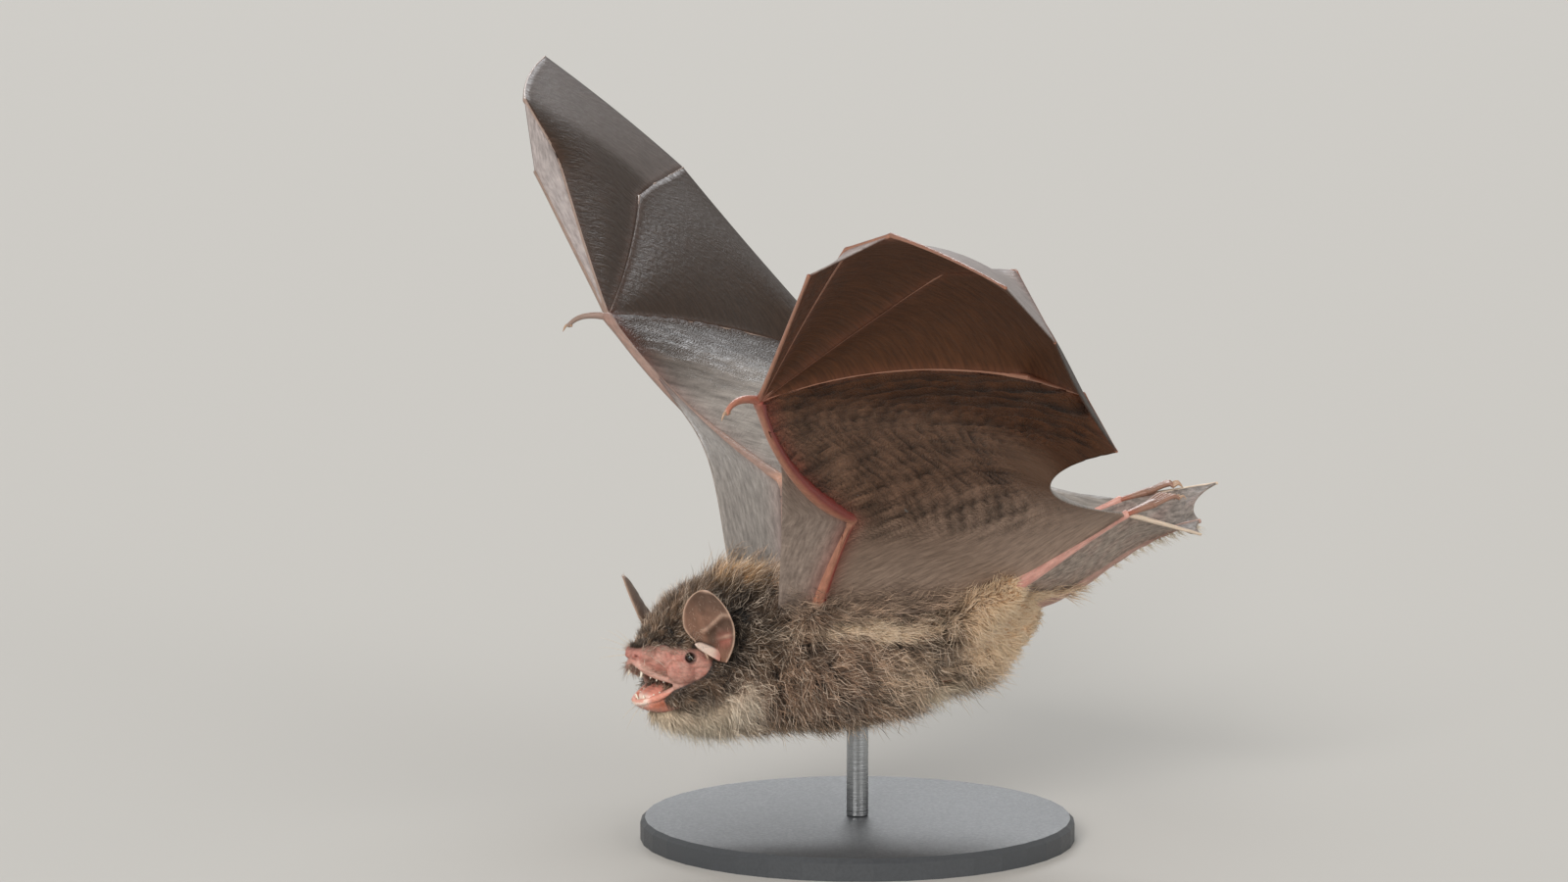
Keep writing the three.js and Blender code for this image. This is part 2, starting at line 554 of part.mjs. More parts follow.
// Stand: a disc on the floor and a rod up into a socket in the belly.
const floorZ = -shoulderHeight;
const rodTop = trunkTable(0.5)[1] - trunkTable(0.5)[3] + stand.rodInto;
const rod = (grow) => solidOf(new THREE.CylinderGeometry(stand.rodRadius + grow, stand.rodRadius + grow,
  rodTop + grow - floorZ - stand.baseHeight, 20).rotateX(Math.PI / 2)
  .translate(standOffset, 0, (rodTop + grow + floorZ + stand.baseHeight) / 2 + (grow ? 0 : gap / 2)));
const r = stand.baseRadius;
const baseProfile = [[0, 0], [r, 0], [r, stand.baseHeight - stand.edge], [r - stand.edge, stand.baseHeight], [0, stand.baseHeight]];
const base = solidOf(new THREE.LatheGeometry(baseProfile.map((p) => new THREE.Vector2(...p)), 40).rotateX(Math.PI / 2)
  .translate(standOffset, 0, floorZ));
addNode(coat, 'stand_base', base, colours.base, 0.4);
addNode(coat, 'stand_rod', rod(0), colours.rod, 0.35, 0.9);

// Head pieces.
const eyes = { left: -1, right: 1 };
const eyeAt = (side) => [eye.place[0], side * eye.place[1], eye.place[2]];
const ears = {};
for (const [name, side] of Object.entries(eyes)) {
  ears[name] = place(earSolid(side, 0).add(tragusSolid(side, 0)));
  addNode(coat, `eye_${name}`, place(ball(eyeAt(side), eye.radius, 0, 8, 6)), colours.eye, 0.1);
}
const mouthCut = jawWhole(gap).add(place(tongueSolid(gap)));
const skull = place(union([headLoft(0), ...upperTeeth()]));
const behindHead = place(slabBehind(headCut));
const headPlane = place(slabBefore(headCut + gap));
addNode(coat, 'head', without(skull, [behindHead, mouthCut, place(ball(eyeAt(-1), eye.radius, gap, 8, 6)),
  place(ball(eyeAt(1), eye.radius, gap, 8, 6))]), colours.coat);
addNode(coat, 'lower_jaw', without(jawWhole(0), [place(tongueSolid(gap))]), colours.jaw, 0.6);
addNode(coat, 'tongue', place(tongueSolid(0)), colours.tongue, 0.4);
for (const name of Object.keys(eyes)) addNode(coat, `ear_${name}`, without(ears[name], [headGrown]), colours.ear);
const earsGrown = Object.values(eyes).map((side) => place(earSolid(side, gap)));

// Neck and trunk are one form, parted by a thin cut.
const torso = without(bodyLoft(0), [headPlane, rod(gap), ...earsGrown]);
addNode(coat, 'neck', without(torso, [slabBehind(neckCut - gap / 2)]), colours.coat);
addNode(coat, 'trunk', without(torso, [slabBefore(neckCut + gap / 2)]), colours.coat);

// Tail and hind limbs.
const tail = without(tailSolid(0), [bodyGrown]);
addNode(coat, 'tail', tail, colours.tail);
const tailGrown = tailSolid(gap);
for (const name of ['left', 'right']) {
  const limbSet = limbs[name];
  const done = [bodyGrown, tailGrown];
  for (const key of ['thigh', 'shin', 'foot', 'calcar']) {
    addNode(coat, `${key}_${name}`, without(limbSet[key](0), done), colours.limb);
    done.push(limbSet[key](gap));
  }
  const legLine = chain([new THREE.LineCurve3(limbSet.knee, limbSet.ankle),
    new THREE.LineCurve3(limbSet.ankle, limbSet.calcarTip)], [0, 0.6, 1]);
  const web = sheet(legLine, (t) => tailCurve.getPoint(t), 2, 7, -0.4, name === 'right' ? -2 : -0.5);
  addNode(coat, `tail_membrane_${name}`, without(web, done), colours.membrane);
}

// Wings.
for (const name of ['left', 'right']) {
  for (const [key, solid] of Object.entries(wing(name, surroundings))) {
    const bare = !key.includes('membrane') && !key.includes('patagium');
    addNode(coat, `${key}_${name}`, solid, bare ? colours.limb : colours.membrane, bare ? 0.6 : 0.75);
  }
}

export default root;
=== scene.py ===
import math

import bpy
import numpy as np
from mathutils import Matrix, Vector


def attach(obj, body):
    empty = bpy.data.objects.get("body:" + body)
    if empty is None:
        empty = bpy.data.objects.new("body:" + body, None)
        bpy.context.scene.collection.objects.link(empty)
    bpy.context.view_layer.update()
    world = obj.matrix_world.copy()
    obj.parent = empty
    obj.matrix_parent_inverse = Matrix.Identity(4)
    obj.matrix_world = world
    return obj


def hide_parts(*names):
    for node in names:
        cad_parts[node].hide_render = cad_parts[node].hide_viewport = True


# A bent-wing bat in flight on a small stand. Shapes are worked out in millimetres from the midpoint between
# the shoulders (x to the tail, y to the right wing, z up) and end in metres in the row frame.

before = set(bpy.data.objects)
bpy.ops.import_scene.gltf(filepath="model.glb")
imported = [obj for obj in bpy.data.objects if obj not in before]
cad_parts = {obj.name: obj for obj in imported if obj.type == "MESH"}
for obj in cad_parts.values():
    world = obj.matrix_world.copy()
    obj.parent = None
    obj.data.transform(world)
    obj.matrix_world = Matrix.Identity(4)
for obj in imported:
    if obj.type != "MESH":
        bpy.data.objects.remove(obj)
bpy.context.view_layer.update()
print("frame loaded:", len(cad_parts), "nodes")

toRow = np.array([-8.0, 0.0, 30.5])     # from the shoulders to the row frame, mm
sides = {"left": -1, "right": 1}
rng = np.random.default_rng(20)

# Pose and sizes: bone lengths in mm, then the sweep towards the tail and the raise of each bone in degrees.
bone = {"humerus": 26, "forearm": 45.5, "thumb": 6.5, "metacarpal2": 37,
        "metacarpal3": 41, "phalanx3a": 10.8, "phalanx3b": 33,
        "metacarpal4": 40, "phalanx4a": 9.3, "phalanx4b": 15,
        "metacarpal5": 37.5, "phalanx5a": 8.8, "phalanx5b": 9}
wingPose = {
    "left": {"humerus": (3.8, 42.1), "forearm": (-28.9, 25.1), "thumb": (-49.2, -9.2),
             "metacarpal2": (-1.6, 28.2),
             "metacarpal3": (4.7, 30.1), "phalanx3a": (15, 12), "phalanx3b": (7.9, -6.2),
             "metacarpal4": (25.1, 26.6), "phalanx4a": (44.6, 1), "phalanx4b": (4.4, -27.8),
             "metacarpal5": (46.3, 7.2), "phalanx5a": (113.9, -16.5), "phalanx5b": (116.3, -53.3)},
    "right": {"humerus": (8, 38.3), "forearm": (-27.9, 27.4), "thumb": (-57.6, -13.4),
              "metacarpal2": (-11.4, 33.2),
              "metacarpal3": (-3.1, 33), "phalanx3a": (-45.3, 54), "phalanx3b": (14.6, 10.8),
              "metacarpal4": (17.4, 23.5), "phalanx4a": (25.9, 9.4), "phalanx4b": (28.9, 7.5),
              "metacarpal5": (61.5, -10.3), "phalanx5a": (125, -8), "phalanx5b": (118, -45)},
}
wingBow = {     # how far the long bones bow at mid length, back and up, mm
    "left": {"humerus": (-0.4, -0.2), "forearm": (-1.8, -1.4), "metacarpal3": (0, 0.6),
             "metacarpal4": (0, 0.4), "metacarpal5": (0, 2.3), "phalanx3b": (0, 0.4)},
    "right": {"humerus": (-0.3, -0.2), "forearm": (-0.8, -1.8), "metacarpal3": (-0.3, 0.4),
              "metacarpal4": (0.8, 0), "metacarpal5": (0, 1.1), "phalanx3b": (-1, 0.2)},
}
girth = {       # radius at the root and at the tip, mm
    "humerus": (0.85, 0.68), "forearm": (0.95, 0.62), "thumb": (0.58, 0.3), "metacarpal2": (0.3, 0.2),
    "metacarpal3": (0.42, 0.32), "phalanx3a": (0.32, 0.27), "phalanx3b": (0.25, 0.13),
    "metacarpal4": (0.37, 0.3), "phalanx4a": (0.28, 0.25), "phalanx4b": (0.23, 0.13),
    "metacarpal5": (0.37, 0.3), "phalanx5a": (0.28, 0.24), "phalanx5b": (0.22, 0.12)}
hip = np.array([17, 4.5, -3.2])
legPose = {
    "left": {"knee": (27, 12, 5.6), "ankle": (42.2, 14, 15.3), "toes": (50.6, 10, 17.4),
             "calcarTip": (54.6, 8, 11.4)},
    "right": {"knee": (30, 11, 6), "ankle": (47.4, 6.7, 14.6), "toes": (55.6, 4.6, 17.2),
              "calcarTip": (60.4, 3, 17.1)},
}
tailPath = np.array([[30, -.5, .4], [38, -1, 3.6], [46, -1.8, 8.7], [51.3, -2.5, 11.2], [56, -3, 12.6]])
foreRoot = {"left": (-4.9, 8, 3), "right": (-8.4, 7.4, 5.8)}
foreEdge = {"left": [(-7.8, 24, 16), (-12, 43, 27.5)], "right": [(-8.2, 24, 19.6), (-9.4, 46, 26.5)]}
flankLine = [(1.5, 8.6, 1.2), (9, 9.4, 1.6), (18, 8.8, 2.4), (27, 8, 4)]
wristNotch = {"left": [(17, 60, 27.5), (20, 38, 20)], "right": [(16, 52, 22), (22, 32, 16)]}

# coat outline of trunk and neck: x, centre height, half width, half height, swing to the right
trunkStations = np.array([
    [-17.5, -4.8, 5, 8.4, .4], [-13.5, -4, 7.6, 11.5, .8], [-8, -3.8, 9.4, 11.9, .5],
    [-2, -3.9, 10.4, 11.9, 0], [5, -4.1, 10.6, 11.7, 0], [12, -3.7, 10.3, 10.8, 0],
    [19, -2.9, 9.4, 9.3, 0], [25, -2, 8.3, 8, 0], [30, -.6, 6.6, 6.1, 0], [33.5, .6, 3.6, 3.4, 0]])
head = {"nose": (-24.9, -5.6, -2.85), "yaw": 26, "pitch": 13}


# Small tools.
def smooth(low, high, x):               # 0 below low, 1 above high, eased between
    t = np.clip((x - low) / (high - low), 0, 1)
    return t * t * (3 - 2 * t)


def bell(x, centre, width):             # 1 at the centre, falling off as a Gaussian
    return np.exp(-((x - centre) / width) ** 2)


def mirrored(p):                        # the same places with the left half laid on the right
    return np.c_[p[:, 0], np.abs(p[:, 1]), p[:, 2]]


def lump3(p, centre, reach):            # 1 at the centre on either side, falling off over its reaches
    return np.exp(-(((mirrored(p) - centre) / reach) ** 2).sum(1))


def speckle(p, size):                   # smooth pseudo-random mottling from a few crossed sine waves
    x, y, z = (p / size).T
    return (np.sin(x * 2.1 + 1.7 * np.sin(y * 1.3 + z)) + np.sin(y * 2.7 + 1.1 * np.sin(z * 1.9 - x))
            + np.sin(z * 2.3 + 1.5 * np.sin(x * 1.1 + y))) / 3


def blend(a, b, t):                     # from a to b; a share for each point also blends colours
    if np.ndim(t) == 1 and max(np.ndim(a), np.ndim(b)) and max(np.shape(a)[-1:], np.shape(b)[-1:]) == (3,):
        t = t[:, None]
    return a + (b - a) * t


def unit(v):
    return v / np.maximum(np.linalg.norm(v, axis=-1, keepdims=True), 1e-9)


def linear(hexColour):                  # sRGB hex to linear RGB
    c = np.array([int(hexColour[i:i + 2], 16) for i in (1, 3, 5)]) / 255
    return np.where(c <= 0.04045, c / 12.92, ((c + 0.055) / 1.055) ** 2.4)


def painted(hexColour):                 # one colour for every point of a shape
    return lambda shape: np.broadcast_to(linear(hexColour), shape.points.shape)


def palette(colours):
    return {key: linear(colour) for key, colour in colours.items()}


def inRow(points):                      # mm from the shoulders to metres in the row frame
    return (points + toRow) * 0.001


def heading(angles, side):
    a, b = np.radians(angles)
    return np.array([np.cos(b) * np.sin(a), side * np.cos(b) * np.cos(a), np.sin(b)])


def bowed(a, b, bow=(0, 0)):            # quadratic curve whose middle stands off by the bow
    middle = (a + b) / 2 + 2 * np.array([bow[0], 0, bow[1]])

    def at(t):
        t = np.asarray(t, float)[:, None]
        return (1 - t) ** 2 * a + 2 * t * (1 - t) * middle + t ** 2 * b
    return at


def cubic(a, b, c, d):                  # cubic Bezier curve
    def at(t):
        t = np.asarray(t, float)[:, None]
        return (1 - t) ** 3 * a + 3 * t * (1 - t) ** 2 * b + 3 * t ** 2 * (1 - t) * c + t ** 3 * d
    return at


def spline(points, endSlope=1):         # curve through the points, Hermite pieces with neighbour slopes
    p = np.asarray(points, float)
    slope = np.gradient(p, axis=0)
    slope[[0, -1]] *= endSlope

    def at(t):
        s = np.clip(np.asarray(t, float), 0, 1) * (len(p) - 1)
        i = np.minimum(s.astype(int), len(p) - 2)
        f = (s - i)[:, None]
        return ((2 * f ** 3 - 3 * f ** 2 + 1) * p[i] + (f ** 3 - 2 * f ** 2 + f) * slope[i]
                + (3 * f ** 2 - 2 * f ** 3) * p[i + 1] + (f ** 3 - f ** 2) * slope[i + 1])
    return at


def chain(curves, shares):              # curves end to end, each over its own share of 0 to 1
    def at(t):
        t = np.asarray(t, float)
        which = np.clip(np.searchsorted(shares, t, side="right") - 1, 0, len(curves) - 1)
        out = np.empty((len(t), 3))
        for k, curve in enumerate(curves):
            on = which == k
            if on.any():
                out[on] = curve((t[on] - shares[k]) / (shares[k + 1] - shares[k]))
        return out
    return at


def gridFaces(rows, columns, closed=False):     # quads of a grid, columns joined round if closed
    r = np.arange(rows - 1)[:, None] * columns
    c = np.arange(columns if closed else columns - 1)[None, :]
    n = (c + 1) % columns
    return np.stack([r + c, r + n, r + columns + n, r + columns + c], -1).reshape(-1, 4)


def endFaces(rows, columns):            # fans that close the first and last ring
    k = np.arange(1, columns - 1)
    front = np.stack([k * 0, k + 1, k, k], 1)
    rear = np.stack([k * 0, k, k + 1, k + 1], 1) + (rows - 1) * columns
    return np.concatenate([front, rear])


class Shape:                            # points, faces, and a tint and a flow place for each point
    def __init__(self, points, quads, tint=None, flow=None, zone=0):
        self.points = np.asarray(points, float)
        self.quads = np.asarray(quads, int).reshape(-1, 4)      # a triangle repeats its last corner
        n = len(self.points)
        self.tint = np.ones((n, 3)) if tint is None else np.broadcast_to(tint, (n, 3)).copy()
        self.flow = np.zeros((n, 3)) if flow is None else flow
        self.zone = np.full(len(self.quads), zone)

    def triangles(self):
        return int(np.where(self.quads[:, 2] == self.quads[:, 3], 1, 2).sum())


def together(shapes):
    start = np.cumsum([0] + [len(s.points) for s in shapes[:-1]])
    whole = Shape(np.concatenate([s.points for s in shapes]),
                  np.concatenate([s.quads + k for s, k in zip(shapes, start)]),
                  np.concatenate([s.tint for s in shapes]), np.concatenate([s.flow for s in shapes]))
    whole.zone = np.concatenate([s.zone for s in shapes])
    return whole


def outward(shape):                     # turn a closed shape's faces round if they enclose a negative volume
    p, q = shape.points, shape.quads
    volume = sum(np.einsum("ij,ij->i", p[q[:, 0]], np.cross(p[q[:, a]], p[q[:, b]])).sum()
                 for a, b in ((1, 2), (2, 3)))
    if volume < 0:
        turned = q[:, ::-1].copy()
        tri = turned[:, 0] == turned[:, 1]
        turned[tri] = turned[tri][:, [1, 2, 3, 3]]
        shape.quads = turned
    return shape


def newMesh(name, shape, materials, row=True):
    points = inRow(shape.points) if row else shape.points
    q = shape.quads
    tri = q[:, 2] == q[:, 3]
    sizes = np.where(tri, 3, 4)
    corners = q.ravel()[np.stack([np.ones(len(q), bool)] * 3 + [~tri], 1).ravel()]
    mesh = bpy.data.meshes.new(name)
    mesh.vertices.add(len(points))
    mesh.vertices.foreach_set("co", points.astype(np.float32).ravel())
    mesh.loops.add(len(corners))
    mesh.loops.foreach_set("vertex_index", corners.astype(np.int32))
    mesh.polygons.add(len(q))
    mesh.polygons.foreach_set("loop_start", np.concatenate([[0], np.cumsum(sizes)[:-1]]).astype(np.int32))
    mesh.polygons.foreach_set("material_index", shape.zone.astype(np.int32))
    mesh.polygons.foreach_set("use_smooth", np.ones(len(q), bool))
    mesh.update(calc_edges=True)
    mesh.validate()
    tint = mesh.attributes.new("tint", "FLOAT_COLOR", "POINT")
    tint.data.foreach_set("color", np.c_[shape.tint, np.ones(len(points))].astype(np.float32).ravel())
    flow = mesh.attributes.new("flow", "FLOAT_VECTOR", "POINT")
    flow.data.foreach_set("vector", shape.flow.astype(np.float32).ravel())
    piece = bpy.data.objects.new(name, mesh)
    bpy.context.scene.collection.objects.link(piece)
    for material in materials:
        mesh.materials.append(material)
    return piece


def hand(piece, slot, *nodes):          # the piece rides on the still body and stands for the nodes
    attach(piece, "root")
    if nodes:
        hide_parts(*nodes)


def taken(lump):                        # the finished mesh of a helper object, which then goes away
    done = lump.evaluated_get(bpy.context.evaluated_depsgraph_get()).to_mesh()
    points = np.empty(len(done.vertices) * 3)
    done.vertices.foreach_get("co", points)
    start, total = np.empty(len(done.polygons), int), np.empty(len(done.polygons), int)
    done.polygons.foreach_get("loop_start", start)
    done.polygons.foreach_get("loop_total", total)
    corner = np.empty(len(done.loops), int)
    done.loops.foreach_get("vertex_index", corner)
    quads = corner[start[:, None] + np.minimum(np.arange(4)[None, :], total[:, None] - 1)]
    lump.to_mesh_clear()
    bpy.data.objects.remove(lump)
    return Shape(points.reshape(-1, 3), quads)


def fused(shapes, cell, rounds):        # close shapes melted into one skin of square cells, then evened out
    lump = newMesh("lump", together(shapes), [], row=False)
    melt = lump.modifiers.new("melt", "REMESH")
    melt.mode = "VOXEL"
    melt.voxel_size = cell
    even = lump.modifiers.new("even", "SMOOTH")
    even.factor = 0.5
    even.iterations = rounds
    return taken(lump)


def thinned(shape, covered, share):     # fewer faces on the covered points, the others kept
    lump = newMesh("lump", shape, [], row=False)
    group = lump.vertex_groups.new(name="covered")
    group.add(np.flatnonzero(covered).tolist(), 1.0, "REPLACE")
    thin = lump.modifiers.new("thin", "DECIMATE")
    thin.vertex_group = group.name
    thin.ratio = 1 - covered.mean() * (1 - share)
    return taken(lump)


def normals(shape):                     # point normals, the sum of the face normals round each point
    p, q = shape.points, shape.quads
    n = np.cross(p[q[:, 2]] - p[q[:, 0]], p[q[:, 3]] - p[q[:, 1]])
    tri = q[:, 2] == q[:, 3]
    n[tri] = np.cross(p[q[tri, 1]] - p[q[tri, 0]], p[q[tri, 2]] - p[q[tri, 0]])
    total = np.zeros_like(p)
    for k in range(4):
        for axis in range(3):
            total[:, axis] += np.bincount(q[:, k], n[:, axis], len(p))
    return unit(total)


# A round tube along a curve: ring radius r(t), a flattening in its own plane, and ends closed like a dome
# by three more rings.
def tube(curve, radius, around=10, rings=12, flat=1.0, tint=None, zone=0):
    centre = curve(np.linspace(0, 1, rings))
    along = unit(np.gradient(centre, axis=0))
    side = unit(np.cross(np.broadcast_to(np.array((0, 0, 1), float), along.shape), along))
    top = np.cross(along, side)
    r = radius(np.linspace(0, 1, rings))
    lead = np.linspace(0, 1, 4)[:-1]
    grow = np.sin(lead * np.pi / 2)
    reach = (1 - np.cos(lead * np.pi / 2)) - 1
    domed = 0.6
    at = np.concatenate([centre[0] + along[0] * (reach * r[0] * domed)[:, None], centre,
                         (centre[-1] - along[-1] * (reach * r[-1] * domed)[:, None])[::-1]])
    size = np.concatenate([grow * r[0] + 1e-3 * (grow == 0), r, (grow * r[-1] + 1e-3 * (grow == 0))[::-1]])
    s = np.concatenate([np.repeat(side[:1], 3, 0), side, np.repeat(side[-1:], 3, 0)])
    u = np.concatenate([np.repeat(top[:1], 3, 0), top, np.repeat(top[-1:], 3, 0)])
    a = np.linspace(0, 2 * np.pi, around, endpoint=False)
    turn = np.cos(a)[None, :, None] * s[:, None] + flat * np.sin(a)[None, :, None] * u[:, None]
    ring = at[:, None] + size[:, None, None] * turn
    rows = len(at)
    length = np.concatenate([[0], np.cumsum(np.linalg.norm(np.diff(at, axis=0), axis=1))])
    flow = np.stack([np.repeat(length[:, None], around, 1), np.repeat((a / (2 * np.pi))[None], rows, 0) * 6,
                     np.zeros((rows, around))], -1)
    quads = np.concatenate([gridFaces(rows, around, True), endFaces(rows, around)])
    shape = Shape(ring.reshape(-1, 3), quads, flow=flow.reshape(-1, 3), zone=zone)
    if tint is not None:
        shape.tint = tint(shape)
    return outward(shape)


# Camera, lights and floor. A sun has the direction it comes from, softness in degrees, strength and colour.
view = {"azimuth": -12.23, "elevation": 8.61, "distance": 600, "lens": 100.35, "aimUp": 0.04099,
        "aimRight": -0.00388}
studio = {
    "keyLight": ((-0.5, -0.8, 0.46), 24, 2.0, (1.0, 0.97, 0.93)),
    "fillLight": ((0.6, -0.75, 0.2), 40, 0.7, (1.0, 0.97, 0.93)),
    "rimLight": ((0.15, 0.85, 0.6), 24, 1.2, (0.94, 0.97, 1.0)),
}
backdrop = {"paper": "#c3c1bd", "sky": "#eeece8", "skyStrength": 0.58}


def placeCamera():
    a, e = math.radians(view["azimuth"]), math.radians(view["elevation"])
    back = Vector((math.sin(a) * math.cos(e), -math.cos(a) * math.cos(e), math.sin(e)))
    right = Vector((math.cos(a), math.sin(a), 0))
    up = back.cross(right)
    aim = -back + view["aimRight"] * right + view["aimUp"] * up
    lens = bpy.data.cameras.new("camera")
    lens.lens = view["lens"]
    lens.sensor_width = 36
    lens.clip_start = 0.02
    lens.clip_end = 120
    camera = bpy.data.objects.new("camera", lens)
    camera.location = Vector(inRow(np.zeros(3))) + back * view["distance"] * 0.001
    camera.rotation_euler = aim.to_track_quat("-Z", "Y").to_euler()
    bpy.context.scene.collection.objects.link(camera)
    bpy.context.scene.camera = camera


def placeLights():
    for name, (source, softness, strength, colour) in studio.items():
        lamp = bpy.data.lights.new(name, "SUN")
        lamp.angle = math.radians(softness)
        lamp.energy = strength
        lamp.color = colour
        light = bpy.data.objects.new(name, lamp)
        light.location = Vector(source) * 0.5
        light.rotation_euler = (-Vector(source)).to_track_quat("-Z", "Y").to_euler()
        bpy.context.scene.collection.objects.link(light)
    world = bpy.data.worlds.new("studio")
    bpy.context.scene.world = world
    world.use_nodes = True
    sky = world.node_tree.nodes["Background"]
    sky.inputs["Color"].default_value = (*linear(backdrop["sky"]), 1)
    sky.inputs["Strength"].default_value = backdrop["skyStrength"]
    bpy.context.scene.view_settings.view_transform = "Standard"


# One node, with settings by socket or property name and inputs from other sockets.
def addNode(tree, kind, settings=None, links=None):
    node = tree.nodes.new("ShaderNode" + kind)
    for key, value in (settings or {}).items():
        if isinstance(key, int) or key in node.inputs:
            node.inputs[key].default_value = value
        else:
            setattr(node, key, value)
    for key, source in (links or {}).items():
        tree.links.new(source, node.inputs[key])
    return node


socketNames = {"colour": "Base Color", "roughness": "Roughness", "metal": "Metallic", "sheen": "Sheen Weight",
               "gloss": "Specular IOR Level", "coat": "Coat Weight", "coatRoughness": "Coat Roughness",
               "soft": "Subsurface Weight", "softReach": "Subsurface Radius", "softScale": "Subsurface Scale"}


def newMaterial(name, **values):        # a material, its tree and its surface, with constants set on it
    material = bpy.data.materials.new(name)
    material.use_nodes = True
    tree = material.node_tree
    surface = tree.nodes["Principled BSDF"]
    for key, value in values.items():
        surface.inputs[socketNames[key]].default_value = value
    return material, tree, surface


# The builders below read two attributes of every piece: tint, its colour, and flow, its own place in mm.
def attribute(tree, name, output):
    return addNode(tree, "Attribute", {"attribute_name": name}).outputs[output]


def maths(tree, operation, settings, links):
    return addNode(tree, "Math", {"operation": operation, **settings}, links).outputs[0]


def stretched(tree, source, scales):    # each axis scaled, so that a noise of size 1 is 1 / scale mm long
    node = addNode(tree, "VectorMath", {"operation": "MULTIPLY", 1: scales}, {0: source})
    return node.outputs["Vector"]


def noise(tree, place, detail=3.0):
    settings = {"Scale": 1.0, "Detail": detail, "Roughness": 0.6}
    return addNode(tree, "TexNoise", settings, {"Vector": place}).outputs[0]


def ranged(tree, value, low, high, start=0.3, end=0.7):
    settings = {"From Min": start, "From Max": end, "To Min": low, "To Max": high}
    return addNode(tree, "MapRange", settings, {"Value": value}).outputs[0]


def toned(tree, colour, factor):        # a colour made lighter and darker by a factor
    node = addNode(tree, "VectorMath", {"operation": "SCALE"}, {0: colour, "Scale": factor})
    return node.outputs["Vector"]


def raised(tree, height, millimetres, under=None):      # bump of a real height over the bump already there
    links = {"Height": height} if under is None else {"Height": height, "Normal": under}
    return addNode(tree, "Bump", {"Strength": 1.0, "Distance": millimetres * 0.001}, links).outputs["Normal"]


def makeFloor():                        # a flat disc of rings, radius growing by powers, even and without gloss
    rings, around = 25, 64
    ring = np.concatenate([[0.0], np.geomspace(0.05, 45, rings - 1)])
    a = np.linspace(0, 2 * np.pi, around, endpoint=False)
    points = np.stack([ring[:, None] * np.cos(a), ring[:, None] * np.sin(a), np.zeros((rings, around))], -1)
    paper, _, _ = newMaterial("matte studio paper", colour=(*linear(backdrop["paper"]), 1), roughness=0.9)
    shape = outward(Shape(points.reshape(-1, 3), gridFaces(rings, around, True)))
    floor = newMesh("floor", shape, [paper], row=False)
    if floor.data.polygons[200].normal.z < 0:
        floor.data.flip_normals()


placeCamera()
placeLights()
makeFloor()
print("camera, lights and floor are set")

# Wings: membrane half thickness, reach of its swelling at a bone and rounds of tightening; then the rows of
# gathers behind the forearm, with their spacing and height in mm, slant in degrees and strength, and the share of
# painted shade and highlight their relief puts on the upper and under face.
membrane = {"half": 0.09, "fillet": 0.85, "netRounds": 60}
gathers = {"row": 3.2, "height": 0.24, "slant": {"left": 36, "right": -38}, "share": {"left": 1, "right": .35},
           "upperPaintedShade": .24, "underPaintedShade": .5}
wingSheets = {      # columns across, rows along, belly in mm
    "propatagium": (12, 50, 0.4), "plagiopatagium": (46, 92, 1.6), "membrane23": (6, 44, 0.0),
    "membrane34": (26, 58, 1.2), "membrane45": (30, 58, 1.6),
}


def jointsOf(name):
    side = sides[name]
    pose = wingPose[name]

    def on(start, key):
        return start + heading(pose[key], side) * bone[key]
    j = {"shoulder": np.array([0, side * 6.5, 0])}
    j["elbow"] = on(j["shoulder"], "humerus")
    j["wrist"] = on(j["elbow"], "forearm")
    j["thumbTip"] = on(j["wrist"], "thumb")
    j["tip2"] = on(j["wrist"], "metacarpal2")
    for d in "345":
        j["knuckle" + d] = on(j["wrist"], "metacarpal" + d)
        j["mid" + d] = on(j["knuckle" + d], "phalanx" + d + "a")
        j["tip" + d] = on(j["mid" + d], "phalanx" + d + "b")
    return side, j


def bonesOf(name, j):
    ends = {"humerus": ("shoulder", "elbow"), "forearm": ("elbow", "wrist"), "metacarpal2": ("wrist", "tip2")}
    for d in "345":
        ends["metacarpal" + d] = ("wrist", "knuckle" + d)
        ends["phalanx" + d + "a"] = ("knuckle" + d, "mid" + d)
        ends["phalanx" + d + "b"] = ("mid" + d, "tip" + d)
    curves = {key: bowed(j[a], j[c], wingBow[name].get(key, (0, 0))) for key, (a, c) in ends.items()}
    bend = j["wrist"] + (j["thumbTip"] - j["wrist"]) * 0.6 + np.array([-0.6, 0, 1.6])

    def thumb(t):
        return (((1 - t) ** 2)[:, None] * j["wrist"] + (2 * t * (1 - t))[:, None] * bend
                + (t ** 2)[:, None] * j["thumbTip"])
    curves["thumb"] = thumb
    return curves


def steps(net, axis):                   # distance walked along one axis of a net
    walked = np.cumsum(np.linalg.norm(np.diff(net, axis=axis), axis=-1), axis=axis)
    return np.concatenate([np.zeros_like(np.take(walked, [0], axis)), walked], axis)


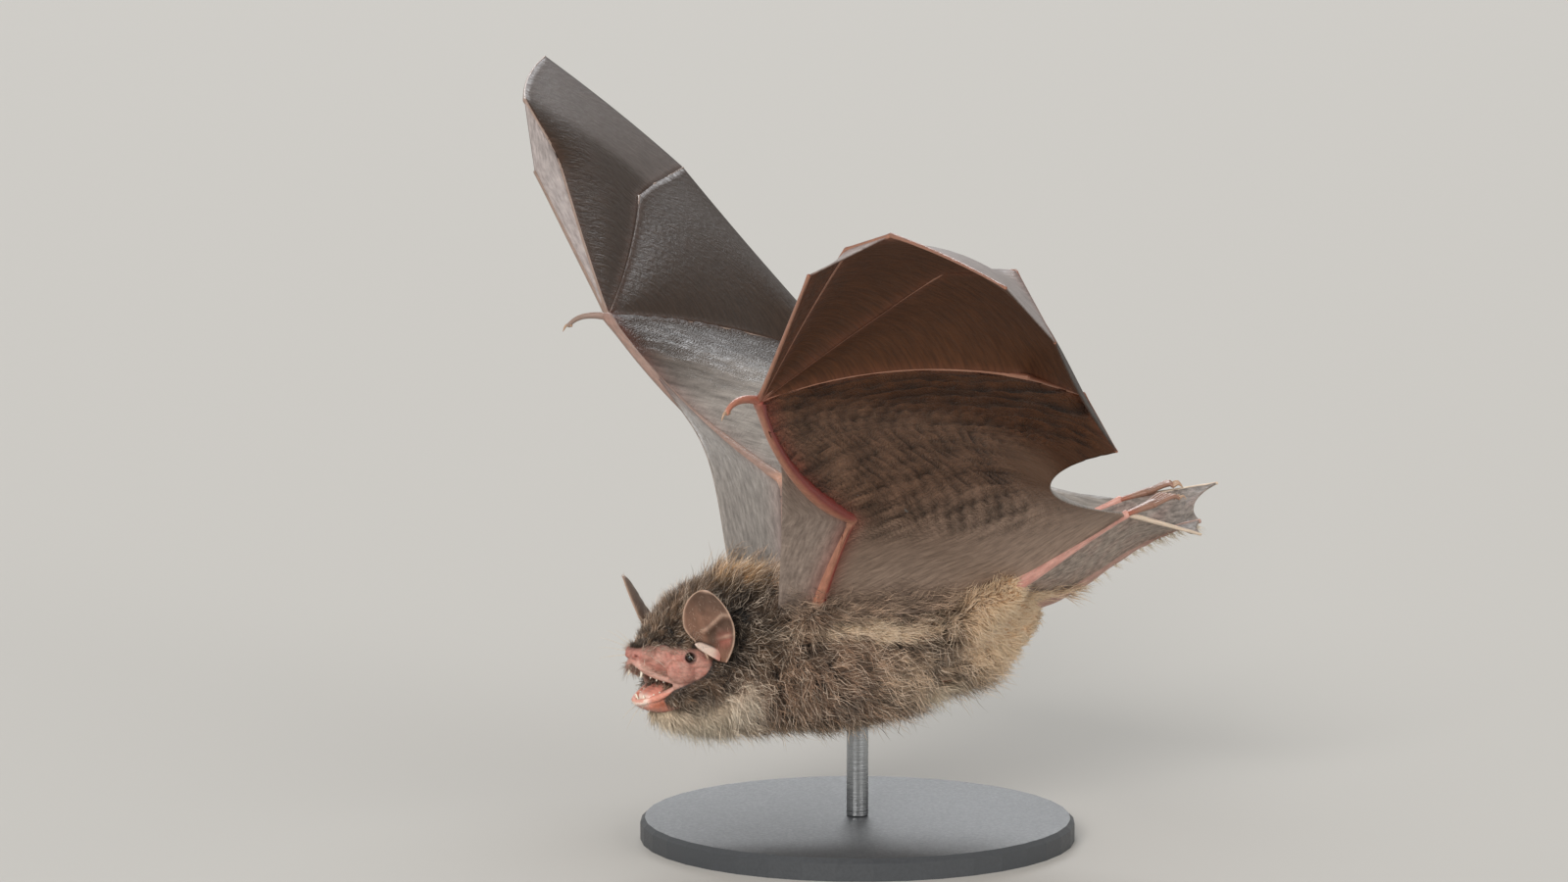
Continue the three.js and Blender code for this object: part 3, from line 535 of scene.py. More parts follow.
# A thin sheet: the net of straight lines between two edge curves is drawn taut by averaging each point with
# its neighbours and arched by belly * 4u(1-u) * sin(pi v). Its half thickness swells towards the bones as
# half + (0.8 bone - half) * exp(-(distance / fillet)^2). Gives the net, normals, half thickness and flow.
def sheetBetween(edgeA, edgeB, across, along, belly, hem, toward, boneA, boneB, taut=membrane["netRounds"]):
    v = np.linspace(0, 1, along)
    s = np.linspace(0, 1, across)
    u = blend(s, 0.5 - 0.5 * np.cos(np.pi * s), 0.55)
    net = edgeA(v)[:, None] * (1 - u)[None, :, None] + edgeB(v)[:, None] * u[None, :, None]
    arch = (4 * u * (1 - u))[None, :] * np.ones((along, 1))
    net[..., 0] += hem * arch * (v ** 4)[:, None]
    for _ in range(taut):
        net[1:-1, 1:-1] = (net[:-2, 1:-1] + net[2:, 1:-1] + net[1:-1, :-2] + net[1:-1, 2:]) / 4
    n = np.cross(np.gradient(net, axis=1), np.gradient(net, axis=0))
    n[0], n[-1] = n[1], n[-2]
    n = unit(n)
    for _ in range(6):
        n[1:-1] = unit(n[:-2] + 2 * n[1:-1] + n[2:])
    if (n.mean((0, 1)) @ toward) < 0:
        net, n, arch, boneA, boneB = net[:, ::-1], -n[:, ::-1], arch[:, ::-1], boneB, boneA
    net = net + n * (belly * arch * np.sin(np.pi * v)[:, None])[..., None]
    stepU = steps(net, 1)
    half = np.full((along, across), membrane["half"])
    for bones, distance in ((boneA, stepU), (boneB, stepU[:, -1:] - stepU)):
        if bones is not None:
            swell = bones(v)[:, None] * 0.8 - membrane["half"]
            half = np.maximum(half, membrane["half"] + swell * np.exp(-(distance / membrane["fillet"]) ** 2))
    return net, n, half, np.stack([stepU, steps(net, 0), np.zeros_like(stepU)], -1)


def closeSheet(net, n, half, flow, zone, tints):    # two faces, a half thickness to either side, and a rim
    rows, columns = net.shape[:2]
    count = rows * columns
    index = np.arange(count).reshape(rows, columns)
    border = np.concatenate([index[0], index[1:, -1], index[-1, -2::-1], index[-2:0:-1, 0]])
    after = np.roll(border, -1)
    rim = np.stack([after, border, border + count, after + count], 1)
    face = gridFaces(rows, columns)
    thick = n * half[..., None]
    points = np.concatenate([(net + thick).reshape(-1, 3), (net - thick).reshape(-1, 3)])
    under = face[:, [0, 3, 2, 1]] + count       # turned so that both faces split along the same diagonal
    flow = np.tile(flow.reshape(-1, 3), (2, 1))
    return Shape(points, np.concatenate([face, under, rim]), np.concatenate(tints), flow, zone)


# Membrane colour: brown leather warmed towards the hand, greyer towards the body, cool grey on the upper side,
# partly the leather's own colour and partly a painted sheen.
wingColour = {"hand": "#52331f", "arm": "#785c4b", "body": "#998577", "upper": "#8e8883",
              "upperDark": "#382d26", "paleAndSheen": "#aba2a0", "fore": "#a39389", "red": "#8f3832",
              "blush": "#7d4c39", "bone": "#cf9a80", "farBone": "#978479"}
redness = {     # share of red beside the arm bones, of blush beside every bone, and of red at the wrist
    "left": (0.5, 0.4, 0.5), "right": (0.15, 0.1, 0.1)}


def membraneTint(points, kind, upper, name, v):
    c = palette(wingColour)
    reach = np.abs(points[:, 1])
    if upper:
        # upper face: grey near the body, partly a painted sheen, darker out towards the hand
        tint = blend(c["upper"], c["upperDark"], smooth(38, 60, reach))
        # near the tip the upper face between digits 3 and 4 is painted pale, a painted sheen, strongly on the near
        # wing
        if kind == "membrane34":
            tint = blend(tint, c["paleAndSheen"], smooth(0.62, 0.72, v) * (0.7 if name == "left" else 0.15))
        # the upper face between digits 2 and 3 is pale in its own colour
        if kind == "membrane23":
            tint = blend(tint, c["paleAndSheen"], 0.9)
        return tint
    if kind == "propatagium":
        return blend(c["fore"], c["arm"], smooth(20, 50, reach) * 0.6)
    return blend(blend(c["body"], c["arm"], smooth(12, 34, reach)), c["hand"], smooth(52, 66, reach))


def awayFrom(points, curves):           # distance of each point from the nearest of the curves
    onCurves = np.concatenate([curve(np.linspace(0, 1, 24)) for curve in curves])
    return np.sqrt(((points[:, None] - onCurves[None]) ** 2).sum(-1)).min(1)


def boneSize(*rows):                    # bone radius against share of the way
    return lambda v: np.interp(v, *np.array(rows).T)


def knuckled(key, swell):               # radius falls along the bone and swells at both ends
    a, b = girth[key]
    return lambda t: blend(a, b, t) + swell * (np.exp(-(t / 0.06) ** 2) + np.exp(-((1 - t) / 0.06) ** 2))


def muscled(key, muscle):               # radius falls along the bone, with a muscle near its root
    a, b = girth[key]
    return lambda t: blend(a, b, smooth(0, 1, t)) + muscle * bell(t, 0.22, 0.2) + 0.22 * bell(t, 1, 0.05)


# The tan stripe is a painted highlight on the side that faces the light, partly the paler bone beneath; the tan at
# the elbow is a painted highlight too.
def wingBoneTint(name, j):              # skin over bone: a tan stripe in front, redder or browner behind
    red, tanHighlight, pale, brown = [linear(wingColour[k]) for k in ("red", "bone", "farBone", "blush")]
    left = name == "left"
    lit = unit(np.array([-0.6, sides[name] * 0.5, -0.6]))

    def tinted(strength, plain):
        def tint(shape):
            # painted highlight: the stripe follows the side that faces the light
            front = np.clip(normals(shape) @ lit, 0, 1)
            behind = blend(red if strength > .5 else brown, pale, 0 if left else 0.85)
            highlightStripe = blend(smooth(.35, .85, front), 1, plain) * strength
            base = blend(behind, tanHighlight if left else pale, highlightStripe)
            joint = np.exp(-(awayFrom(shape.points, [lambda t: np.array([j["elbow"]])]) / 1.3) ** 2)
            wristRed = np.exp(-(awayFrom(shape.points, [lambda t: np.array([j["wrist"]])]) / 2.2) ** 2)
            return blend(blend(base, red, redness[name][2] * wristRed), tanHighlight, 0.8 * joint)
        return tint
    return tinted


def wing(name):
    side, j = jointsOf(name)
    curves = bonesOf(name, j)
    mirror = np.array([1, side, 1])
    toward = np.array([0, -side, 1.0])                  # the upper side of a raised wing
    leg = {k: np.array(p) * mirror for k, p in legPose[name].items()}
    near, far = [np.array(p) * mirror for p in wristNotch[name]]

    def along(keys, *shares):
        return chain([curves[k] for k in keys.split()], [0, *shares, 1])
    armLine = along("humerus forearm", 0.4)
    frontOfArm = along("humerus forearm metacarpal5 phalanx5a phalanx5b", .24, .6, .84, .92)
    flank = spline(np.array([*flankLine, legPose[name]["knee"]]) * mirror)
    hind = chain([flank, bowed(leg["knee"], leg["ankle"]),
                  cubic(leg["ankle"], far, near, j["tip5"])], [0, .34, .52, 1])
    lead = spline(np.array([foreRoot[name], *foreEdge[name], j["wrist"] * mirror]) * mirror)
    third = along("metacarpal3 phalanx3a phalanx3b", .5, .64)
    fourth = along("metacarpal4 phalanx4a phalanx4b", .52, .7)
    fifth = along("metacarpal5 phalanx5a phalanx5b", .64, .82)
    second = chain([curves["metacarpal2"], bowed(j["tip2"], j["mid3"])], [0, .76, 1])
    digitSize = boneSize((0, .5), (.6, .36), (1, .12))
    plan = {    # two edges, shift of the free edge in mm, bone size at each edge
        "propatagium": (lead, armLine, 0, None, boneSize((0, .8), (.4, .8), (1, .7))),
        "plagiopatagium": (frontOfArm, hind, 0, boneSize((0, .8), (.24, .8), (.6, .6), (1, .12)),
                           boneSize((0, .3), (.3, .3), (.34, .55), (.5, .4), (.56, .1), (1, .1))),
        "membrane23": (second, along("metacarpal3 phalanx3a", .8), 0, boneSize((0, .3), (1, .12)), digitSize),
        "membrane34": (third, fourth, 0.6 if name == "right" else 0, digitSize, digitSize),
        "membrane45": (fourth, fifth, -0.6, digitSize, digitSize),
    }
    shapes = []
    for kind, (edgeA, edgeB, hem, boneA, boneB) in plan.items():
        net, n, half, flow = sheetBetween(edgeA, edgeB, *wingSheets[kind], hem, toward, boneA, boneB)
        grid = half.shape
        v = np.repeat(np.linspace(0, 1, grid[0]), grid[1])
        flat = net.reshape(-1, 3)
        gather, relief = np.zeros(grid), np.zeros(grid)
        if kind == "plagiopatagium":                    # streaks and gathers slant out from the body
            slant = math.radians(gathers["slant"][name])
            out = (np.abs(flat[:, 1]) + flat[:, 2]) / math.sqrt(2)
            flow[..., 0] = (math.cos(slant) * out - math.sin(slant) * flat[:, 0]).reshape(grid)
            flow[..., 1] = (math.sin(slant) * out + math.cos(slant) * flat[:, 0]).reshape(grid)
            toArm, toHind = awayFrom(flat, [frontOfArm]), awayFrom(flat, [hind])
            share = toArm / (toArm + toHind + .01)
            inner = smooth(12, 17, flat[:, 2]) * smooth(.95, .65, share) * smooth(1.0, .9, v)
            gather = gathers["share"][name] * inner.reshape(grid)
            rows = np.sin(2 * np.pi * flow[..., 0] / gathers["row"] + 3.4 * speckle(flat, 6).reshape(grid))
            relief = 0.9 * rows + 1.2 * speckle(flat, 1.8).reshape(grid)
            net = net + n * (gather * gathers["height"] * relief)[..., None]
        if kind in ("membrane34", "membrane45"):        # theirs run across, along the free edge
            flow[..., :2] = flow[..., 1::-1]
        flow[..., 2] = gather
        byArm = bell(awayFrom(flat, [curves["humerus"], curves["forearm"]]), 0, 1.8)
        byBone = bell(awayFrom(flat, list(curves.values())), 0, 0.9)
        # painted shade in the hollows of the gathers and painted highlight on their crests, by their relief
        paintedShade = (gather * relief).clip(-1.4, 1.6).reshape(-1, 1)
        tints = []
        for upper in (True, False):
            tint = membraneTint(flat, kind, upper, name, v)
            tint = blend(tint, linear(wingColour["red"]), redness[name][0] * byArm)
            tint = blend(tint, linear(wingColour["blush"]), redness[name][1] * byBone)
            tints.append(tint * (1 + gathers["upperPaintedShade" if upper else "underPaintedShade"] * paintedShade))
        shapes.append(closeSheet(net, n, half, flow, 1, tints))
    tinted = wingBoneTint(name, j)
    for key, curve in curves.items():
        if key in ("humerus", "forearm"):
            radius = muscled(key, 0.3 if key == "forearm" else 0.1)
            shapes.append(tube(curve, radius, 18, 40, 0.9, tinted(0.7, 0), 2))
        else:
            radius = knuckled(key, 0.06 if key.startswith("meta") else 0.05)
            tint = tinted(0.7, 0.8) if key == "thumb" else tinted(0.5, 0.3)
            shapes.append(tube(curve, radius, 10, 22, 1, tint, 2))
    return shapes, j, curves


wingParts = {name: wing(name) for name in sides}
print("wings are laid out")

# Trunk and neck, with the roots of the legs and arms.
bodySkin = {"coatDepth": 2.3, "cell": 0.42, "evenRounds": 5, "share": 0.4, "squareness": 2.1}


# A closed loft: at each station the ring is the superellipse |c|^k + |d|^k = 1 scaled to half, up and down.
def loft(stationAt, rows, columns, squareness):
    x, y, z, half, up, down = stationAt(np.linspace(0, 1, rows))
    a = np.linspace(0, 2 * np.pi, columns, endpoint=False)
    c, d = np.cos(a), np.sin(a)
    k = (np.abs(c) ** squareness + np.abs(d) ** squareness) ** (-1 / squareness)
    height = np.where(d[None] > 0, up[:, None], down[:, None])
    ring = np.stack([np.repeat(x[:, None], columns, 1), y[:, None] + c * k * half[:, None],
                     z[:, None] + d * k * height], -1)
    quads = np.concatenate([gridFaces(rows, columns, True), endFaces(rows, columns)])
    return outward(Shape(ring.reshape(-1, 3), quads))


def rounded(t):                         # 0 to 1, steep at first and level at the end, for blunt ends
    return 1 - (1 - np.clip(t, 0, 1)) ** 2


def ellipsoid(centre, radii, rows=14, columns=20):
    def station(t):
        return (-np.cos(np.pi * t), t * 0, t * 0, *[np.sin(np.pi * t).clip(1e-4)] * 3)
    shape = loft(station, rows, columns, 2)
    shape.points = shape.points * np.array(radii) + np.array(centre)
    return shape


trunkTable = spline(trunkStations, 0.5)


def trunkLoft():
    def station(t):
        x, z, half, height, y = trunkTable(t).T
        taper = np.sqrt(np.clip(1 - np.abs(2 * t - 1) ** 10, 1e-4, 1))
        depth = bodySkin["coatDepth"] * (1 - 0.35 * smooth(24, 33, x))
        return x, y, z, (half - depth) * taper, (height - depth) * taper, (height - depth) * taper
    return loft(station, 60, 64, bodySkin["squareness"])


def torsoSkin():
    parts = [trunkLoft()]
    for name, side in sides.items():
        knee, j = legPose[name]["knee"], wingParts[name][1]
        m = np.array([1, side, 1])
        thigh = bowed(hip * m, np.array(knee) * m)
        parts.append(tube(thigh, lambda t: blend(2.9, 1.45, smooth(0, 1, t)), 20, 26))
        shoulder = j["shoulder"]
        arm = unit(j["elbow"] - shoulder)
        upperArm = bowed(shoulder - arm * 3 - [0, 0, 1], shoulder + arm * 5.5)
        parts.append(tube(upperArm, lambda t: blend(3.6, 1.0, smooth(0, 1, t)), 20, 20))
        parts.append(ellipsoid(shoulder + np.array([1.5, 0, -5]), (6.5, 3.0, 5.5)))       # chest muscle
    whole = fused(parts, bodySkin["cell"], bodySkin["evenRounds"])
    return thinned(whole, np.ones(len(whole.points), bool), bodySkin["share"])


torso = torsoSkin()
print("torso skin:", len(torso.quads), "faces")

# Head. Skin outline in its own frame from the nose tip (x back, z to the crown): distance behind the nose,
# half width, crown above, jaw line below, all mm.
headStations = np.array([
    [0, .95, .55, -.45], [.9, 1.6, 1.15, -1.0], [2.4, 2.45, 2.3, -1.95], [4.4, 3.45, 4.8, -2.75],
    [6.4, 4.35, 7.4, -3.7], [9, 5.0, 9.8, -5.6], [12, 5.2, 11.2, -7.4], [15, 5.2, 11.2, -7.6],
    [18, 4.6, 10, -6.5], [21, 2.6, 7, -3]])
jaw = {"hinge": (9, 0, -3.8), "length": 6.8, "tipWidth": 1.75, "rearWidth": 3.45, "tipDepth": 1.3,
       "rearDepth": 4.6, "gape": 21}
eyePlan = {"radius": 0.67, "place": (6.9, 4.4, 0.8), "facing": (-.38, 1, .12), "iris": "#23140d",
           "pupil": "#070504"}
headSkin = {"cell": 0.14, "evenRounds": 3, "coveredShare": 0.1, "squareness": 2.15}
headSwells = [      # centre and radii on the right side: nose pad, nostril, cheek, and skin of the mouth corner
    ((2.2, 1.6, .2), (1.5, .95, 1.1)), ((.62, .62, -.12), (.62, .56, .6)), ((6.6, 3.75, -1.2), (2.6, 1.1, 1.8)),
    ((8.2, 3.6, -3.4), (1.7, .9, 1.6)), ((6.7, 3.35, -3.15), (.95, .5, .75))]
upperLip = [(.8, 0, -1.0), (1.1, .95, -1.35), (1.9, 1.7, -1.95), (3.4, 2.4, -2.4), (5.2, 3.05, -2.65),
            (7.2, 3.7, -2.95)]
lowerLip = [(-6.75, 0, -.25), (-6.3, 1.1, -.1), (-5.0, 1.95, .15), (-3.3, 2.55, .6), (-1.8, 3.15, 1.1),
            (-.6, 3.5, 1.4)]


def turned(angle, axis):                # a turn about y or z
    c, s = math.cos(math.radians(angle)), math.sin(math.radians(angle))
    return np.array([[c, 0, s], [0, 1, 0], [-s, 0, c]] if axis == "y" else [[c, -s, 0], [s, c, 0], [0, 0, 1]])


headTurn = turned(head["yaw"], "z") @ turned(head["pitch"], "y")
jawTurn = turned(-jaw["gape"], "y")


def fromHead(points):                   # head frame to shoulder frame
    return points @ headTurn.T + np.array(head["nose"])


def fromJaw(points):                    # jaw frame to head frame
    return points @ jawTurn.T + np.array(jaw["hinge"])


def toHead(points):
    return (points - np.array(head["nose"])) @ headTurn


def toJaw(points):
    return (points - np.array(jaw["hinge"])) @ jawTurn


def skullLoft():
    def station(t):
        x, half, crown, jawLine = spline(headStations, 0.5)(t).T
        taper = np.sqrt(np.clip(1 - np.abs(2 * t - 1) ** 16, 1e-4, 1))
        mid = (crown + jawLine) / 2 + 0.12 * (jawLine - crown) / 2
        return x, x * 0, mid, half * taper, (crown - mid) * taper, (mid - jawLine) * taper
    return loft(station, 90, 72, headSkin["squareness"])


def jawLoft():
    def station(t):
        blunt = np.sqrt(np.clip(rounded(t / 0.28), 1e-4, 1))
        taper = blunt * np.sqrt(np.clip(1 - np.clip(t - 0.8, 0, 1) ** 2 / 0.041, 1e-4, 1))
        down = blend(jaw["tipDepth"], jaw["rearDepth"], t ** 1.4)
        half = blend(jaw["tipWidth"], jaw["rearWidth"], t) * taper
        return (-jaw["length"] * (1 - t) + 0.6 * t, t * 0, -0.6 * blunt, half,
                (0.6 + 1.4 * smooth(.3, .8, t)) * taper, (down - 0.5) * taper)
    shape = loft(station, 50, 48, 2.4)
    shape.points = fromJaw(shape.points)
    return shape


def openMouth(p, n, b, ay, z):          # the palate drawn up between the lips, the mouth's floor drawn down
    inLips = smooth(0.55, 1.3, (0.95 + 0.42 * b).clip(0, 3.6) - ay + 0.2) * smooth(0.8, 1.6, b)
    inLips = inLips * (1 - smooth(7.2, 8.6, b))
    p[:, 2] += 0.95 * (inLips * smooth(0.2, 0.7, -n[:, 2]) * smooth(-4.4, -3.9, z))
    q = toJaw(p)
    inRim = smooth(0.5, 1.1, (2.05 + 0.19 * (q[:, 0] + 6.2)) - ay) * smooth(-6.3, -5.4, q[:, 0])
    inRim = inRim * (1 - smooth(-2.5, -0.6, q[:, 0]))
    floor = inRim * smooth(0.2, 0.7, n @ jawTurn[:, 2]) * (1 - smooth(0.9, 1.3, q[:, 2]))
    p -= jawTurn[:, 2] * (0.5 * floor)[:, None]


def fromLine(p, centre, axis):          # distance along an axis through the centre, and away from it
    rel = p - centre
    along = rel @ axis
    return along, np.linalg.norm(rel - along[:, None] * axis, axis=1)


def carveSide(p, n, b, y, z, side):
    # nostril: a slit down and back from the nose tip, with a low rim round it
    along, off = fromLine(p, np.array([.6, side * 1.12, -.45]), unit(np.array([.6, side * .3, -.62])))
    d = np.sqrt((along / .62) ** 2 + (off / .26) ** 2)
    p += n * (0.08 * bell(d, 1.45, .4) - 0.42 * (1 - smooth(.3, 1.0, d)))[:, None]
    # eyelids: two rings round the eye's axis, with the socket sunk inside them
    out = unit(np.array(eyePlan["facing"]) * [1, side, 1])
    depth, off = fromLine(p, np.array(eyePlan["place"]) * [1, side, 1], out)
    close = (depth > -0.6) & (off < 2.2)
    p += out * (close * (0.24 * bell(off, .8, .18) + 0.06 * bell(off, 1.25, .2)))[:, None]
    p -= out * (close * (1.15 * (1 - smooth(.45, .67, off))))[:, None]
    # crease from the eye back to the ear
    crease = bell(z + 0.9 - 0.25 * (b - 6.9), 0, .22) * smooth(7.6, 8.4, b) * (1 - smooth(9.5, 10.5, b))
    p -= n * (0.14 * crease * (y * side > 0))[:, None]


def headShape():
    parts = [skullLoft(), jawLoft()]
    for side in sides.values():
        s = np.array([1, side, 1])
        parts += [ellipsoid(np.array(centre) * s, radii) for centre, radii in headSwells]
        parts.append(tube(spline(np.array(upperLip) * s), lambda t: 0.36 + 0.1 * np.sin(np.pi * t), 12, 26))
        lip = spline(fromJaw(np.array(lowerLip) * s))
        parts.append(tube(lip, lambda t: 0.42 + 0.08 * np.sin(np.pi * t), 12, 26))
    shape = fused(parts, headSkin["cell"], headSkin["evenRounds"])
    p = shape.points
    n = normals(shape)
    b, y, z = p.T
    ay = np.abs(y)
    openMouth(p, n, b, ay, z)
    for side in sides.values():
        carveSide(p, n, b, y, z, side)
    # groove between the nostrils, and fine folds over the muzzle
    groove = bell(y, 0, .18) * (1 - smooth(.5, 1.1, b)) * smooth(-.7, -.2, z + .3)
    p += n * (-0.16 * groove)[:, None]
    folds = np.sin(b * 9.0 + 3.2 * np.sin(z * 2.1) + ay * 1.3) * bell(z, .6, 1.1)
    folds = folds * smooth(1.0, 1.8, b) * (1 - smooth(4.5, 6.0, b))
    p += n * (0.035 * folds * (n[:, 2] < 0.9))[:, None]
    return thinned(shape, bareFace(p) < 0.02, headSkin["coveredShare"])


def furLine(b):                         # height of the coat's lower edge on the bald side of the face
    return np.interp(b, [0, .8, 1.6, 3, 5, 7, 8.6, 10], [.5, .8, 1.25, 1.75, 2.05, 2.0, 2.1, 2.2])


def cheekLine(b):                       # height below which the cheek behind the mouth is furred
    return np.interp(b, [5.2, 5.9, 6.6, 7.4, 8.9, 9.8, 10.9], [-5.5, -4.2, -3.4, -2.8, -2.0, -1.0, 1.1])


def bareFace(q):                        # 1 on bare face skin, 0 under the coat; q is a place in the head frame
    b, _, z = q.T
    jx, _, jz = toJaw(q).T
    cheek = (1 - smooth(-.3, .35, z - furLine(b))) * smooth(-.3, .35, z - cheekLine(b))
    cheek = cheek * (1 - smooth(9.6, 10.6, b))
    chin = 1 - smooth(-1.9, -1.0, jx + 0.25 * (jz + 1) + 2.2 * smooth(-1.2, -.4, jz))
    chin = chin * smooth(-3.1, -2.2, jz - 0.16 * (jx + 6.8))
    return np.clip(np.maximum(cheek * (z > -6.5), chin * (z < -2.2)), 0, 1)


faceColour = {"skin": "#bd8375", "flush": "#a2574e", "pale": "#d4ab9d", "dusk": "#926a60", "nose": "#a9675e",
              "lid": "#5b4541", "jaw": "#dd9784", "jawTipHighlight": "#f3ddd0", "lipBand": "#b0603f", "mouth": "#6d2a27",
              "hide": "#33261e"}


def faceTint(q):
    c = palette(faceColour)
    b, y, z = q.T
    jx, _, jz = toJaw(q).T
    mottle = 0.5 + 0.5 * speckle(q, 1.1)
    tint = blend(c["skin"], c["flush"], 0.75 * mottle ** 1.6 * bell(z, -1.2, 2.4))
    tint = blend(tint, c["pale"], 0.6 * (0.5 + 0.5 * speckle(q + 7, 0.8)) ** 1.5)
    tint = blend(tint, c["dusk"], 0.65 * smooth(.4, 1.7, z - furLine(b) + 1.3))
    noseAway = np.linalg.norm((mirrored(q) - [.45, .9, -.3]) * [.75, .9, .8], axis=1)
    tint = blend(tint, c["nose"], (0.5 + 0.3 * mottle) * (1 - smooth(.35, 1.25, noseAway)))
    tint = blend(tint, c["pale"], 0.8 * (bell(z + 1.0 + 0.38 * b, 0, .7) * smooth(.2, 1, b)))     # upper lip
    # the front top of the lower lip is painted near white, a painted highlight
    jawSkin = blend(c["jaw"], c["jawTipHighlight"], smooth(-5.6, -6.6, jx) * smooth(-1.4, -.2, jz))
    jawSkin = blend(jawSkin, c["lipBand"], bell(jz, -.75, .5) * smooth(-6.4, -4.6, jx) * 0.8)
    jawSkin = blend(jawSkin, c["flush"], 0.35 * mottle * smooth(-1.0, -2.2, jz))
    lower = (z < -2.0) & (jz < 0.75) & (jx < 0.4) & (z < -1.9 - 0.25 * b)
    tint = np.where(lower[:, None], jawSkin, tint)
    inside = (np.abs(y) < (0.5 + 0.4 * b).clip(0, 3.3) - 0.3) & (b > 1.2) & (b < 9.5)
    inside = inside & (z < -1.3 - 0.22 * b) & (jz > -0.1)
    tint = blend(tint, blend(c["jaw"], c["mouth"], smooth(-5.6, -1.5, jx)), inside * 0.85)
    for side in sides.values():
        off = np.linalg.norm(q - np.array(eyePlan["place"]) * [1, side, 1], axis=1)
        tint = blend(tint, c["lid"], 0.85 * (1 - smooth(.76, 1.1, off)))
    return blend(c["hide"], tint, bareFace(q) * 0.999)


# Blunt cones for the teeth: gum, length and radius, in the head frame (upper) or the jaw frame (lower).
teeth = {
    "upper": [((1.7, 1.3, -1.8), 1.25, .24), ((1.0, .75, -1.35), .5, .12), ((2.9, 1.85, -2.25), .7, .18),
              ((3.8, 2.1, -2.4), .75, .22), ((4.8, 2.4, -2.55), .65, .22)],
    "lower": [((-6.1, .8, .1), .7, .2), ((-6.35, .25, .1), .35, .12), ((-4.9, 1.5, .35), .4, .18),
              ((-4.1, 1.8, .5), .4, .2)],
    "colour": "#efe6d4",
}
tongue = {"length": 4.9, "half": 1.62, "thick": 0.62, "tip": -6.0, "rise": 0.26, "pink": "#d99282",
          "pale": "#f3d9cb", "deep": "#a3473f"}


def toothShape(gum, length, radius, side, up):
    lean = unit(np.array([-.12, side * .1, up]))
    root = np.array(gum) * [1, side, 1] - lean * 0.1
    spine = bowed(root, root + lean * (length + .1), (0.03, 0))
    return tube(spine, lambda t: radius * (1 - t ** 1.6) ** .6 + .015, 10, 9, 1, painted(teeth["colour"]))


def teethShape():
    shapes = []
    for side in sides.values():
        shapes += [toothShape(*row, side, -1.0) for row in teeth["upper"]]
        for row in teeth["lower"]:
            lower = toothShape(*row, side, 1.0)
            lower.points = fromJaw(lower.points)
            shapes.append(lower)
    whole = together(shapes)
    whole.points = fromHead(whole.points)
    return whole


def tongueShape():                      # a flat rounded slab with a groove down its middle
    length, rise = tongue["length"], tongue["rise"]

    def station(t):
        taper = np.sqrt(np.clip(rounded(t / .3), 1e-3, 1))
        taper = taper * np.sqrt(np.clip(1 - np.clip((t - .85) / .16, 0, 1) ** 2, 1e-3, 1))
        return (tongue["tip"] + length * t, t * 0, .12 + rise * length * t, tongue["half"] * taper,
                tongue["thick"] * taper, .5 * taper)
    shape = loft(station, 34, 32, 2.2)
    x, y, z = shape.points.T
    top = smooth(-.2, .4, z - rise * (x - tongue["tip"]))
    z -= 0.16 * top * bell(y, 0, .35)
    z += 0.03 * top * np.sin(x * 11)
    pink = blend(linear(tongue["pink"]), linear(tongue["pale"]), smooth(-5.0, -6.0, x))
    shape.tint = blend(pink, linear(tongue["deep"]), 0.6 * smooth(-3.6, -1.6, x))
    shape.points = fromHead(fromJaw(shape.points))
    return shape


faceShape = headShape()
faceShape.tint = faceTint(faceShape.points)
faceShape.flow = faceShape.points.copy()
faceShape.points = fromHead(faceShape.points)
print("head skin:", len(faceShape.quads), "faces")

# Ears, each with a tragus.
ear = {"root": (9.6, 6, 1.0), "facing": 46, "height": 9.1, "width": 6.5, "cup": 1.5, "half": 0.13, "lean": 5.6,
       "flare": 3.0, "farShade": 0.68}
tragus = {"length": 3.3, "width": 1.5, "half": 0.15}
earColour = {"inner": "#8f6c5a", "upper": "#6e574a", "rim": "#c9ab97", "root": "#c07466", "bowl": "#5f4b40",
             "outer": "#6b584d", "tragus": "#e2cbbd", "tragusEdge": "#54443b"}


def earAxes(side):
    a = math.radians(ear["facing"])
    return np.array([math.cos(a), side * math.sin(a), 0]), np.array([-math.sin(a), side * math.cos(a), 0])


def leafNormals(net):
    return unit(np.cross(np.gradient(net, axis=1), np.gradient(net, axis=0)))


# Height of the folds that cross the inner face: the roof of the lower bowl, the bowl, two short bosses, a rib
# and fine ripples, each a bell or an eased step in v up the ear and s across it.
def earFolds(v, s, arch):
    roof = 0.26 * bell(arch, 0, .04) * smooth(-.5, -.2, s)
    bowl = 0.3 * smooth(.02, -.12, arch) * smooth(-.4, 0, s) * smooth(.98, .8, s)
    bossA, bossB = 0.3 * bell(v, .5, .06) * bell(s, .12, .14), 0.25 * bell(v, .44, .05) * bell(s, .42, .12)
    rib = 0.3 * bell(v - .3 - .14 * s, 0, .03) * bell(s, .62, .3)
    ripples = 0.035 * np.sin(v * 46) * bell(v, .68, .16) * smooth(.95, .3, np.abs(s))
    return roof - bowl + bossA + bossB + rib + ripples


